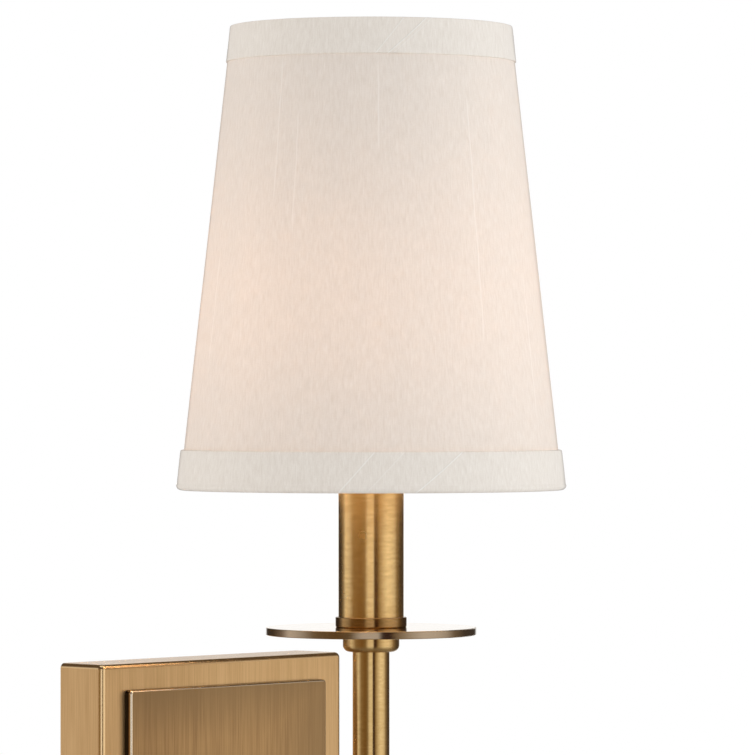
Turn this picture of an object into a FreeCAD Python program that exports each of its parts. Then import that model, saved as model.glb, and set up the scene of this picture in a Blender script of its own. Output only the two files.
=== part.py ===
import FreeCAD, Part
import math
import os

# A wall light with one fabric shade on a candle sleeve, carried by a rectangular plate with a raised panel.
# Frame: millimetres, +Z up, +X to the right of someone facing the wall, +Y into the wall. The origin is on the wall
# plane at the centre of the mounting strap, and the arm's axis runs through it. The light stands out towards -Y.
# Each size has one name. What fits in or passes through another piece takes its size from that piece and a clearance.

# ---- Driving dimensions: wall plate -------------------------------------------------------------------------------
PLATE_WIDTH = 120.0
PLATE_HEIGHT = 203.0
PLATE_DEPTH = 20.0
PLATE_SHEET = 1.2
PLATE_EDGE_RADIUS = 1.9
PANEL_SIDE_BORDER = 11.1
PANEL_END_BORDER = 9.1
PANEL_THICKNESS = 3.0
PANEL_EDGE_RADIUS = 0.8
PANEL_CORNER_RADIUS = 1.4

# ---- Driving dimensions: mounting strap and its fixings -----------------------------------------------------------
STRAP_LENGTH = 112.0
STRAP_WIDTH = 19.0
STRAP_THICKNESS = 1.6
STRAP_CORNER_RADIUS = 3.0
SLOT_SPACING = 88.9
SLOT_WIDTH = 4.8
SLOT_LENGTH = 14.0
STRAP_CENTRE_HOLE = 13.0
STUD_SPACING = 60.3
STUD_DIAMETER = 4.1
STUD_NUT_FLATS = 8.7
STUD_NUT_HEIGHT = 3.2
CAP_NUT_DIAMETER = 12.0
CAP_NUT_LENGTH = 11.0
CAP_NUT_BORE_DEPTH = 8.0
CAP_WASHER_DIAMETER = 14.0
CAP_WASHER_THICKNESS = 0.8
GROUND_SCREW_HEIGHT = 18.0
GROUND_SCREW_DIAMETER = 3.8
GROUND_SCREW_HEAD = 8.0
GROUND_SCREW_HEAD_HEIGHT = 2.2

# ---- Driving dimensions: threaded pipe, arm and stem --------------------------------------------------------------
PIPE_DIAMETER = 9.8
PIPE_BORE = 6.4
PIPE_ENGAGEMENT = 5.5
STEM_WALL = 1.1
ARM_LENGTH = 89.0
DISC_RISE = 114.5
HUB_DIAMETER = 26.0
HUB_FLAT = 11.0
HUB_WIREWAY = 9.0
FLANGE_DIAMETER = 34.0
FLANGE_THICKNESS = 2.6
FLANGE_STEP_DIAMETER = 25.0
FLANGE_STEP_THICKNESS = 2.4
FLANGE_NECK_DIAMETER = 18.0
FLANGE_NECK_LENGTH = 4.0
FLANGE_SEAT_DEPTH = 2.0
PIPE_NUT_FLATS = 14.0
PIPE_NUT_HEIGHT = 3.0
LOCK_WASHER_DIAMETER = 17.0
LOCK_WASHER_THICKNESS = 1.0
NIPPLE_INSIDE_PLATE = 9.0

# ---- Driving dimensions: the stem's lower end ---------------------------------------------------------------------
LOWER_STEM_LENGTH = 139.0
TAIL_DISC_DIAMETER = 30.0
TAIL_DISC_THICKNESS = 2.0
FINIAL_SOCKET_DIAMETER = 16.0
FINIAL_SOCKET_LENGTH = 10.0
FINIAL_COVE_DIAMETER = 7.0
FINIAL_BALL_DIAMETER = 21.0
FINIAL_TIP_DIAMETER = 10.0
FINIAL_COVE_LENGTH = 5.0
FINIAL_TIP_NECK_LENGTH = 2.5

# ---- Driving dimensions: disc, collar and candle tube -------------------------------------------------------------
BOSS_DIAMETER = 19.2
BOSS_HEIGHT = 5.7
BOSS_BOWL_RADIUS = 3.2
DISC_DIAMETER = 71.4
DISC_THICKNESS = 2.6
DISC_EDGE_RADIUS = 0.3
CUP_FLOOR = 1.0
CUP_HEIGHT = 3.5
CUP_WALL = 0.9
CUP_LIP_RADIUS = 0.35
CANDLE_HEIGHT = 76.2
CANDLE_WALL = 0.7

# ---- Driving dimensions: lampholder -------------------------------------------------------------------------------
SOCKET_DIAMETER = 18.4
SOCKET_LENGTH = 40.5
SOCKET_DROP = 1.5
SOCKET_CAVITY_DEPTH = 9.8
SOCKET_CAVITY_DIAMETER = 8.0
SOCKET_CAVITY_OFFSET = 2.2
SOCKET_SHELL_DEPTH = 22.7
SOCKET_SHELL_LENGTH = 21.7
SOCKET_SHELL_WALL = 0.4
SHELL_FLOOR_HOLE = 7.2
CONTACT_RIVET_DIAMETER = 2.4
CONTACT_HEAD_DIAMETER = 5.2
CONTACT_HEIGHT = 2.9
SHELL_RIVET_DIAMETER = 1.8
SHELL_RIVET_OFFSET = 5.0
RIVET_TAIL = 1.0
SLEEVE_WALL = 0.4
BRACKET_SHEET = 1.2
BRACKET_WIDTH = 8.0
BRACKET_REACH = 8.0
BRACKET_TAB = 6.1
BRACKET_EYE_WALL = 2.6
SOCKET_SCREW_OFFSET = 4.4
SOCKET_SCREW_DIAMETER = 2.4
SOCKET_SCREW_HEAD = 4.4
SOCKET_SCREW_HEAD_HEIGHT = 1.6
SOCKET_SCREW_LENGTH = 7.0

# ---- Driving dimensions: candelabra bulb --------------------------------------------------------------------------
BULB_CAP_DIAMETER = 11.9
BULB_CAP_LENGTH = 17.9
BULB_CAP_WALL = 0.35
BULB_TIP_DIAMETER = 4.0
BULB_TIP_HEIGHT = 1.0
BULB_INSULATOR_HEIGHT = 2.0
BULB_DIAMETER = 32.0
BULB_GLASS_LENGTH = 75.6
BULB_FLARE_LENGTH = 31.6
BULB_NECK_DEPTH = 11.0
BULB_GLASS_WALL = 0.7
BULB_STEM_DIAMETER = 3.6
BULB_STEM_LENGTH = 31.0
BULB_STEM_RIM = 1.2
BULB_STEM_FLARE_LENGTH = 8.0
FILAMENT_HEIGHT = 22.0
FILAMENT_SPREAD = 10.0
FILAMENT_DIAMETER = 0.8

# ---- Driving dimensions: shade ------------------------------------------------------------------------------------
SHADE_RISE = 46.5
SHADE_HEIGHT = 157.0
SHADE_TOP_DIAMETER = 94.8
SHADE_BOTTOM_DIAMETER = 129.8
FABRIC_THICKNESS = 0.6
LINER_THICKNESS = 0.4
TAPE_THICKNESS = 0.45
TOP_BAND_HEIGHT = 12.2
TOP_BAND_RISE = 0.45
BOTTOM_BAND_HEIGHT = 13.6
BOTTOM_BAND_RISE = 1.2
BAND_EDGE_RADIUS = 0.3
HEM_RADIUS = 1.2
RING_WIRE = 2.4
SPOKE_WIRE = 2.0
SPOKE_COUNT = 3
SPOKE_BEND_INSET = 9.0
SPOKE_BEND_DROP = 2.0
SPOKE_FOOT_LENGTH = 5.0
COLLAR_DIAMETER = 13.0
COLLAR_BORE = 6.0
COLLAR_HEIGHT = 4.0
COLLAR_GAP = 1.5
CLIP_WIRE = 1.6
CLIP_LOOPS = 2
CLIP_GAP = 0.8
CLIP_HALF_ANGLE = 50.0
CLIP_LENGTH = 40.0
CLIP_STEPS = 10

# ---- Driving dimensions: wiring -----------------------------------------------------------------------------------
LEAD_DIAMETER = 1.6
LEAD_SPACING = 2.2
LEAD_BEND_RADIUS = 5.0
LEAD_DEPTH = 9.0
LEAD_STRAIGHT = 3.0
LEAD_ENTRY_RISE = 8.0
LEAD_SAG = 6.0
WIRE_NUT_OFFSET = 26.0
WIRE_NUT_DROP = 34.0
WIRE_NUT_DIAMETER = 12.6
WIRE_NUT_LENGTH = 22.0
WIRE_NUT_GRIP = 10.0
TERMINAL_THICKNESS = 0.8
TERMINAL_DIAMETER = 15.0
TERMINAL_BARREL_DIAMETER = 3.6
TERMINAL_BARREL_LENGTH = 6.0
GROUND_LEAD_RISE = 6.0
GROUND_LEAD_DEPTH = 8.0
GROUND_LEAD_CREST = 9.0
GROUND_LEAD_ASIDE = 4.5

# ---- Clearances ---------------------------------------------------------------------------------------------------
THREAD_CLEARANCE = 0.05
TUBE_CLEARANCE = 0.25
CUP_CLEARANCE = 0.1
STUD_CLEARANCE = 0.25
SLEEVE_CLEARANCE = 0.3
CANDLE_CLEARANCE = 0.5
SHELL_CLEARANCE = 0.05
BULB_THREAD_CLEARANCE = 0.15
GLASS_CLEARANCE = 0.05
CONTACT_CLEARANCE = 0.1

# ---- Sizes that follow --------------------------------------------------------------------------------------------
PIPE_HOLE = PIPE_DIAMETER + 2 * THREAD_CLEARANCE
STEM_BORE = PIPE_DIAMETER + 2 * TUBE_CLEARANCE
STEM_DIAMETER = STEM_BORE + 2 * STEM_WALL
STUD_HOLE = STUD_DIAMETER + 2 * THREAD_CLEARANCE
STUD_PASSAGE = STUD_DIAMETER + 2 * STUD_CLEARANCE
SLEEVE_BORE = SOCKET_DIAMETER + 2 * SLEEVE_CLEARANCE
SLEEVE_DIAMETER = SLEEVE_BORE + 2 * SLEEVE_WALL
CANDLE_BORE = SLEEVE_DIAMETER + 2 * CANDLE_CLEARANCE
CANDLE_DIAMETER = CANDLE_BORE + 2 * CANDLE_WALL
CUP_BORE = CANDLE_DIAMETER + 2 * CUP_CLEARANCE
CUP_DIAMETER = CUP_BORE + 2 * CUP_WALL
SHELL_BORE = BULB_CAP_DIAMETER + 2 * BULB_THREAD_CLEARANCE
SHELL_DIAMETER = SHELL_BORE + 2 * SOCKET_SHELL_WALL
SOCKET_BORE = SHELL_DIAMETER + 2 * SHELL_CLEARANCE
BULB_CAP_BORE = BULB_CAP_DIAMETER - 2 * BULB_CAP_WALL
BULB_NECK_DIAMETER = BULB_CAP_BORE - 2 * GLASS_CLEARANCE
LEAD_HOLE = LEAD_DIAMETER + 2 * THREAD_CLEARANCE

PANEL_FRONT = PLATE_DEPTH + PANEL_THICKNESS
FLANGE_LENGTH = FLANGE_THICKNESS + FLANGE_STEP_THICKNESS + FLANGE_NECK_LENGTH
ARM_TUBE_START = PANEL_FRONT + FLANGE_LENGTH - FLANGE_SEAT_DEPTH
HUB_BACK = ARM_LENGTH - HUB_FLAT
NIPPLE_START = PLATE_DEPTH - PLATE_SHEET - NIPPLE_INSIDE_PLATE
STUD_END = PANEL_FRONT + CAP_WASHER_THICKNESS + CAP_NUT_BORE_DEPTH - 1.0

# Heights above the disc's top face.
SOCKET_TOP = CANDLE_HEIGHT - SOCKET_DROP
SOCKET_BOTTOM = SOCKET_TOP - SOCKET_LENGTH
SHELL_FLOOR = SOCKET_TOP - SOCKET_SHELL_DEPTH
CAVITY_TOP = SOCKET_BOTTOM + SOCKET_CAVITY_DEPTH
BRACKET_BASE = CUP_FLOOR + PIPE_NUT_HEIGHT
PIPE_TOP = BRACKET_BASE + BRACKET_SHEET + PIPE_NUT_HEIGHT + 1.0
BULB_FOOT = SHELL_FLOOR + CONTACT_HEIGHT + CONTACT_CLEARANCE
BULB_CAP_FOOT = BULB_FOOT + BULB_TIP_HEIGHT + BULB_INSULATOR_HEIGHT
BULB_CAP_TOP = BULB_CAP_FOOT + BULB_CAP_LENGTH
BULB_WIDEST = BULB_CAP_TOP + BULB_FLARE_LENGTH
BULB_TOP = BULB_CAP_TOP + BULB_GLASS_LENGTH
COLLAR_FOOT = BULB_TOP + COLLAR_GAP
SHADE_TOP = SHADE_RISE + SHADE_HEIGHT

# Distances below the arm's axis.
LOWER_STEM_END = HUB_FLAT + LOWER_STEM_LENGTH
TAIL_DISC_TOP = LOWER_STEM_END + BOSS_HEIGHT
FINIAL_START = TAIL_DISC_TOP + TAIL_DISC_THICKNESS

SIDEWAYS = FreeCAD.Vector(1, 0, 0)
OUTWARD = FreeCAD.Vector(0, -1, 0)
UP = FreeCAD.Vector(0, 0, 1)
ORIGIN = FreeCAD.Vector(0, 0, 0)
HUB_CENTRE = OUTWARD * ARM_LENGTH
DISC_CENTRE = HUB_CENTRE + UP * DISC_RISE
TINY = 1e-6


# ---- Shapes that repeat -------------------------------------------------------------------------------------------
def corner_arc(before, corner, after, radius):
    """Start, middle and end of the arc that rounds a corner; one point three times if the corner stays sharp."""
    back = before - corner
    ahead = after - corner
    angle = back.getAngle(ahead)
    if radius < TINY or angle > math.pi - TINY:
        return corner, corner, corner
    reach = min(radius / math.tan(angle / 2), 0.49 * back.Length, 0.49 * ahead.Length)
    radius = reach * math.tan(angle / 2)
    back.normalize()
    ahead.normalize()
    middle = back + ahead
    middle.normalize()
    depth = radius / math.sin(angle / 2) - radius
    return corner + back * reach, corner + middle * depth, corner + ahead * reach


def joined(arcs, closed):
    """A wire of the arcs in order and the straight lines between them."""
    edges = []
    for index, (start, middle, end) in enumerate(arcs):
        if start.distanceToPoint(end) > TINY:
            edges.append(Part.Arc(start, middle, end).toShape())
        if index + 1 < len(arcs) or closed:
            following = arcs[(index + 1) % len(arcs)][0]
            if end.distanceToPoint(following) > TINY:
                edges.append(Part.LineSegment(end, following).toShape())
    return Part.Wire(edges)


def rounded_outline(corners):
    """A closed wire through (point, radius) corners."""
    count = len(corners)
    arcs = []
    for index, (point, radius) in enumerate(corners):
        arcs.append(corner_arc(corners[index - 1][0], point, corners[(index + 1) % count][0], radius))
    return joined(arcs, True)


def turned(corners, centre, along):
    """A solid turned about the axis through centre: each corner is (radius from the axis, distance along, rounding)."""
    outline = rounded_outline([(centre + SIDEWAYS * r + along * d, rounding) for r, d, rounding in corners])
    return Part.Face(outline).revolve(centre, along, 360)


def on_stem(corners):
    """A piece turned about the stem, with heights above the disc's top face."""
    return turned(corners, DISC_CENTRE, UP)


def below_hub(corners):
    """A piece turned about the stem, with distances below the arm's axis."""
    return turned(corners, HUB_CENTRE, UP * -1)


def on_arm(corners):
    """A piece turned about the arm, with distances out from the wall."""
    return turned(corners, ORIGIN, OUTWARD)


def tube_corners(bore, outside, start, end, rounding=0.0):
    """The section of a plain tube, or of a rod where the bore is 0, with its outer corners rounded."""
    return [
        (bore / 2, start, 0),
        (outside / 2, start, rounding),
        (outside / 2, end, rounding),
        (bore / 2, end, 0),
    ]


def drilled(solid, diameter, start, end):
    """The solid with a round hole from start to end."""
    direction = end - start
    return solid.cut(Part.makeCylinder(diameter / 2, direction.Length, start, direction))


def hexagon_nut(flats, height, bore, foot, along):
    """A hexagon nut with bevelled corners that stands on foot."""
    corner_radius = flats / math.sqrt(3)
    side = SIDEWAYS.cross(along)
    points = []
    for step in range(7):
        angle = math.radians(60 * step + 30)
        points.append(foot + SIDEWAYS * (corner_radius * math.cos(angle)) + side * (corner_radius * math.sin(angle)))
    blank = Part.Face(Part.makePolygon(points)).extrude(along * height)
    bevel = corner_radius - flats / 2
    cone = turned(
        [
            (0, 0, 0),
            (corner_radius - bevel, 0, 0),
            (corner_radius, bevel, 0),
            (corner_radius, height - bevel, 0),
            (corner_radius - bevel, height, 0),
            (0, height, 0),
        ],
        foot,
        along,
    )
    nut = blank.common(cone)
    return drilled(nut, bore, foot - along, foot + along * (height + 1))


def wire_along(corners, diameter):
    """A round wire through (point, bend radius) corners, from straight runs and tangent arcs."""
    arcs = [(corners[0][0],) * 3]
    for index in range(1, len(corners) - 1):
        point, radius = corners[index]
        arcs.append(corner_arc(corners[index - 1][0], point, corners[index + 1][0], radius))
    arcs.append((corners[-1][0],) * 3)
    path = joined(arcs, False)
    section = Part.Circle(corners[0][0], corners[1][0] - corners[0][0], diameter / 2).toShape()
    wire = path.makePipeShell([Part.Wire([section])], True, False)
    expected = math.pi * diameter ** 2 / 4 * path.Length
    print("wire %.1f mm long, volume %.4f of its section times its length" % (path.Length, wire.Volume / expected))
    return wire


def wire_ring(diameter, wire, height):
    """A closed ring of round wire about the stem, by the diameter of its centre line."""
    return Part.makeTorus(diameter / 2, wire / 2, DISC_CENTRE + UP * height, UP)


def single(shape):
    """The one solid of a cut or fused shape."""
    return shape.removeSplitter().Solids[0]


def group(shapes):
    """Separate solids that share a node."""
    solids = []
    for shape in shapes:
        solids.extend(shape.Solids)
    return Part.makeCompound(solids)


# ---- Wall plate and strap -----------------------------------------------------------------------------------------
def stud_centres():
    """The two studs' axes on the wall plane."""
    return [UP * (STUD_SPACING / 2), UP * (-STUD_SPACING / 2)]


def block(width, height, near, far):
    """A box centred on the arm's axis between two distances out from the wall."""
    return Part.makeBox(width, far - near, height, FreeCAD.Vector(-width / 2, -far, -height / 2))


def edges_where(shape, wanted):
    """The edges whose midpoint and direction satisfy the test."""
    chosen = []
    for edge in shape.Edges:
        direction = edge.Vertexes[-1].Point - edge.Vertexes[0].Point
        direction.normalize()
        if wanted(edge.CenterOfMass, direction):
            chosen.append(edge)
    return chosen


def back_plate():
    """The deep pan with an open back, rounded front edges and holes for the arm and the studs."""
    pan = block(PLATE_WIDTH, PLATE_HEIGHT, 0, PLATE_DEPTH)
    along_depth = edges_where(pan, lambda middle, way: abs(way.y) > 0.9)
    pan = pan.makeFillet(PLATE_EDGE_RADIUS, along_depth)
    front_rim = [edge for edge in pan.Edges if edge.CenterOfMass.y < -PLATE_DEPTH + TINY]
    pan = pan.makeFillet(PLATE_EDGE_RADIUS * 0.98, front_rim)
    width_inside = PLATE_WIDTH - 2 * PLATE_SHEET
    height_inside = PLATE_HEIGHT - 2 * PLATE_SHEET
    hollow = block(width_inside, height_inside, -1, PLATE_DEPTH - PLATE_SHEET)
    inner_radius = max(PLATE_EDGE_RADIUS - PLATE_SHEET, 0.3)
    hollow = hollow.makeFillet(inner_radius, edges_where(hollow, lambda middle, way: abs(way.y) > 0.9))
    hollow_front = [edge for edge in hollow.Edges if edge.CenterOfMass.y < -(PLATE_DEPTH - PLATE_SHEET) + TINY]
    hollow = hollow.makeFillet(inner_radius * 0.98, hollow_front)
    return pierced(pan.cut(hollow))


def pierced(plate):
    """The plate with the holes that the arm's nipple and the studs pass through."""
    plate = drilled(plate, PIPE_HOLE, ORIGIN, OUTWARD * (PANEL_FRONT + 1))
    for centre in stud_centres():
        plate = drilled(plate, STUD_PASSAGE, centre, centre + OUTWARD * (PANEL_FRONT + 1))
    return plate


def face_panel():
    """The raised panel on the plate's front."""
    width = PLATE_WIDTH - 2 * PANEL_SIDE_BORDER
    height = PLATE_HEIGHT - 2 * PANEL_END_BORDER
    panel = block(width, height, PLATE_DEPTH, PANEL_FRONT)
    panel = panel.makeFillet(PANEL_CORNER_RADIUS, edges_where(panel, lambda middle, way: abs(way.y) > 0.9))
    front_rim = [edge for edge in panel.Edges if edge.CenterOfMass.y < -PANEL_FRONT + TINY]
    panel = panel.makeFillet(min(PANEL_EDGE_RADIUS, 0.9 * PANEL_THICKNESS), front_rim)
    return pierced(panel)


def mounting_strap():
    """The steel strap with two slots for the outlet box, two threaded stud holes and a centre hole."""
    strap = block(STRAP_WIDTH, STRAP_LENGTH, 0, STRAP_THICKNESS)
    strap = strap.makeFillet(STRAP_CORNER_RADIUS, edges_where(strap, lambda middle, way: abs(way.y) > 0.9))
    straight = SLOT_LENGTH - SLOT_WIDTH
    for side in (1, -1):
        centre = UP * (side * SLOT_SPACING / 2)
        strap = strap.cut(block(SLOT_WIDTH, straight, -1, STRAP_THICKNESS + 1).translate(centre))
        for end in (1, -1):
            tip = centre + UP * (end * straight / 2)
            strap = drilled(strap, SLOT_WIDTH, tip - OUTWARD, tip + OUTWARD * (STRAP_THICKNESS + 1))
    for centre in stud_centres():
        strap = drilled(strap, STUD_HOLE, centre - OUTWARD, centre + OUTWARD * (STRAP_THICKNESS + 1))
    strap = drilled(strap, STRAP_CENTRE_HOLE, OUTWARD * -1, OUTWARD * (STRAP_THICKNESS + 1))
    screw = UP * GROUND_SCREW_HEIGHT
    hole = GROUND_SCREW_DIAMETER + 2 * THREAD_CLEARANCE
    return drilled(strap, hole, screw - OUTWARD, screw + OUTWARD * (STRAP_THICKNESS + 1))


def mounting_studs():
    """The two threaded studs, flush with the strap's back, that reach into the cap nuts."""
    return group([turned(tube_corners(0, STUD_DIAMETER, 0, STUD_END, 0.4), c, OUTWARD) for c in stud_centres()])


def stud_locknuts():
    """The hexagon nuts that lock the studs to the strap."""
    nuts = []
    for centre in stud_centres():
        foot = centre + OUTWARD * STRAP_THICKNESS
        nuts.append(hexagon_nut(STUD_NUT_FLATS, STUD_NUT_HEIGHT, STUD_HOLE, foot, OUTWARD))
    return group(nuts)


def cap_washer(centre):
    """The washer under a cap nut, on the panel's front."""
    corners = tube_corners(STUD_PASSAGE, CAP_WASHER_DIAMETER, 0, CAP_WASHER_THICKNESS, 0.2)
    return turned(corners, centre + OUTWARD * PANEL_FRONT, OUTWARD)


def cap_nut(centre):
    """A domed cap nut with a blind bore for its stud."""
    foot = centre + OUTWARD * (PANEL_FRONT + CAP_WASHER_THICKNESS)
    radius = CAP_NUT_DIAMETER / 2
    waist = radius * 0.86
    nut = turned(
        [
            (0, 0, 0),
            (radius, 0, 0.3),
            (radius, CAP_NUT_LENGTH * 0.22, 0.3),
            (waist, CAP_NUT_LENGTH * 0.26, 0.3),
            (waist, CAP_NUT_LENGTH, waist * 0.9),
            (0, CAP_NUT_LENGTH, 0),
        ],
        foot,
        OUTWARD,
    )
    return drilled(nut, STUD_HOLE, foot - OUTWARD * 0.5, foot + OUTWARD * CAP_NUT_BORE_DEPTH)


def ground_screw():
    """The bonding screw, threaded through the strap, with room under its head for the ground lead."""
    centre = UP * GROUND_SCREW_HEIGHT
    head_foot = STRAP_THICKNESS + LEAD_DIAMETER
    head_top = head_foot + GROUND_SCREW_HEAD_HEIGHT
    shank = GROUND_SCREW_DIAMETER / 2
    head = GROUND_SCREW_HEAD / 2
    screw = turned(
        [(0, 0, 0), (shank, 0, 0), (shank, head_foot, 0), (head, head_foot, 0), (head, head_top, 0.8), (0, head_top, 0)],
        centre,
        OUTWARD,
    )
    slot = Part.makeBox(GROUND_SCREW_HEAD + 2, 0.9, 1.0)
    slot.translate(centre + FreeCAD.Vector(-GROUND_SCREW_HEAD / 2 - 1, -head_top, -0.5))
    return single(screw.cut(slot))


# ---- Arm and hub --------------------------------------------------------------------------------------------------
def arm_flange():
    """The stepped rosette that seats the arm tube on the panel."""
    step_start = PANEL_FRONT + FLANGE_THICKNESS
    neck_start = step_start + FLANGE_STEP_THICKNESS
    neck_end = neck_start + FLANGE_NECK_LENGTH
    return on_arm(
        [
            (PIPE_HOLE / 2, PANEL_FRONT, 0),
            (FLANGE_DIAMETER / 2, PANEL_FRONT, 0),
            (FLANGE_DIAMETER / 2, step_start, 1.0),
            (FLANGE_STEP_DIAMETER / 2, step_start, 0.6),
            (FLANGE_STEP_DIAMETER / 2, neck_start, 1.0),
            (FLANGE_NECK_DIAMETER / 2, neck_start, 0.8),
            (FLANGE_NECK_DIAMETER / 2, neck_end, 1.4),
            (STEM_DIAMETER / 2 + THREAD_CLEARANCE, neck_end, 0),
            (STEM_DIAMETER / 2 + THREAD_CLEARANCE, neck_end - FLANGE_SEAT_DEPTH, 0),
            (PIPE_HOLE / 2, neck_end - FLANGE_SEAT_DEPTH, 0),
        ]
    )


def hub_ball():
    """The ball where arm and stem meet: three flats, three threaded seats and a wireway between them."""
    ball = Part.makeSphere(HUB_DIAMETER / 2, HUB_CENTRE)
    side = HUB_DIAMETER + 2
    front = ARM_LENGTH + HUB_DIAMETER
    ball = ball.common(block(side, 2 * HUB_FLAT, HUB_BACK, front))
    ball = ball.cut(Part.makeSphere(HUB_WIREWAY / 2, HUB_CENTRE))
    seat = HUB_FLAT - PIPE_ENGAGEMENT
    for way in (UP, UP * -1, OUTWARD * -1):
        ball = drilled(ball, PIPE_HOLE, HUB_CENTRE + way * seat, HUB_CENTRE + way * (HUB_FLAT + 1))
        ball = drilled(ball, PIPE_BORE, HUB_CENTRE, HUB_CENTRE + way * (seat + 0.5))
    return single(ball)


def arm_hex_nut_foot():
    """Distance from the wall of the hexagon nut's face against the terminal."""
    return PLATE_DEPTH - PLATE_SHEET - LOCK_WASHER_THICKNESS - TERMINAL_THICKNESS


def arm_lock_washer():
    """The toothless lock washer inside the pan."""
    face = PLATE_DEPTH - PLATE_SHEET
    return on_arm(tube_corners(PIPE_HOLE, LOCK_WASHER_DIAMETER, face - LOCK_WASHER_THICKNESS, face))


def ground_terminal():
    """The ring terminal under the arm's nut, with the barrel that holds the ground lead."""
    foot = arm_hex_nut_foot()
    ring = on_arm(tube_corners(PIPE_HOLE, TERMINAL_DIAMETER, foot, foot + TERMINAL_THICKNESS))
    tongue_top = TERMINAL_DIAMETER / 2 + 4
    tongue = Part.makeBox(
        TERMINAL_BARREL_DIAMETER,
        TERMINAL_THICKNESS,
        tongue_top - PIPE_HOLE / 2 - 1,
        FreeCAD.Vector(-TERMINAL_BARREL_DIAMETER / 2, -foot - TERMINAL_THICKNESS, PIPE_HOLE / 2 + 1),
    )
    barrel_foot = UP * (tongue_top - 2) + OUTWARD * terminal_barrel_distance()
    barrel = Part.makeCylinder(TERMINAL_BARREL_DIAMETER / 2, TERMINAL_BARREL_LENGTH, barrel_foot, UP)
    terminal = single(ring.fuse(tongue).fuse(barrel))
    lead_seat = barrel_foot + UP * (TERMINAL_BARREL_LENGTH - WIRE_NUT_GRIP / 2)
    return drilled(terminal, LEAD_HOLE, lead_seat, lead_seat + UP * WIRE_NUT_GRIP)


def terminal_barrel_distance():
    """Distance of the barrel's axis from the wall: the barrel lies on the wall side of its tongue."""
    return arm_hex_nut_foot() + TERMINAL_THICKNESS - TERMINAL_BARREL_DIAMETER / 2


# ---- Stem ---------------------------------------------------------------------------------------------------------
def neck_boss():
    """The turned boss under the drip disc, with a bowl-shaped foot round the stem."""
    top = -DISC_THICKNESS
    foot = top - BOSS_HEIGHT
    return on_stem(
        [
            (PIPE_HOLE / 2, foot, 0),
            (BOSS_DIAMETER / 2, foot, BOSS_BOWL_RADIUS),
            (BOSS_DIAMETER / 2, top, 0.2),
            (PIPE_HOLE / 2, top, 0),
        ]
    )


def candle_cup():
    """The low cup that the candle tube stands in."""
    return on_stem(
        [
            (PIPE_HOLE / 2, 0, 0),
            (CUP_DIAMETER / 2, 0, 0.5),
            (CUP_DIAMETER / 2, CUP_HEIGHT, CUP_LIP_RADIUS),
            (CUP_BORE / 2, CUP_HEIGHT, 0.15),
            (CUP_BORE / 2, CUP_FLOOR, 0),
            (PIPE_HOLE / 2, CUP_FLOOR, 0),
        ]
    )


def tail_collar():
    """The boss at the lower stem's end, the neck boss turned over."""
    return below_hub(
        [
            (PIPE_HOLE / 2, LOWER_STEM_END, 0),
            (BOSS_DIAMETER / 2, LOWER_STEM_END, BOSS_BOWL_RADIUS),
            (BOSS_DIAMETER / 2, TAIL_DISC_TOP, 0.2),
            (PIPE_HOLE / 2, TAIL_DISC_TOP, 0),
        ]
    )


def tail_finial():
    """The turned finial that closes the lower stem: a threaded socket, a cove, a ball and a small tip."""
    socket_end = FINIAL_START + FINIAL_SOCKET_LENGTH
    ball_centre = socket_end + FINIAL_COVE_LENGTH + FINIAL_BALL_DIAMETER / 2 - 0.5
    tip_centre = ball_centre + (FINIAL_BALL_DIAMETER + FINIAL_TIP_DIAMETER) / 2 + FINIAL_TIP_NECK_LENGTH - 1.0
    socket = FINIAL_SOCKET_DIAMETER / 2
    cove = FINIAL_COVE_DIAMETER / 2
    spindle = below_hub(
        [
            (0, FINIAL_START, 0),
            (socket, FINIAL_START, 0.8),
            (socket, FINIAL_START + 3, 0.8),
            (socket * 0.9, FINIAL_START + 3.6, 0.3),
            (socket * 0.9, socket_end, 3.0),
            (cove, socket_end + FINIAL_COVE_LENGTH / 2, 2.0),
            (cove, ball_centre, 0),
            (cove * 0.8, ball_centre, 0),
            (cove * 0.8, tip_centre, 0),
            (0, tip_centre, 0),
        ]
    )
    ball = Part.makeSphere(FINIAL_BALL_DIAMETER / 2, HUB_CENTRE - UP * ball_centre)
    tip = Part.makeSphere(FINIAL_TIP_DIAMETER / 2, HUB_CENTRE - UP * tip_centre)
    finial = single(spindle.fuse(ball).fuse(tip))
    mouth = HUB_CENTRE - UP * (FINIAL_START - 1)
    return drilled(finial, PIPE_HOLE, mouth, HUB_CENTRE - UP * finial_seat())


def finial_seat():
    """Distance below the arm's axis where the finial's threaded seat ends."""
    return FINIAL_START + FINIAL_SOCKET_LENGTH * 0.75


# ---- Candle and lampholder ----------------------------------------------------------------------------------------
def stem_point(sideways, height):
    """A point beside the stem's axis, with its height above the disc's top face."""
    return DISC_CENTRE + SIDEWAYS * sideways + UP * height


def bracket_box(start, end, foot, top):
    """A piece of the bracket's strip between two distances sideways and two heights."""
    corner = stem_point(start, foot) + OUTWARD * (BRACKET_WIDTH / 2)
    return Part.makeBox(end - start, BRACKET_WIDTH, top - foot, corner)


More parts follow.
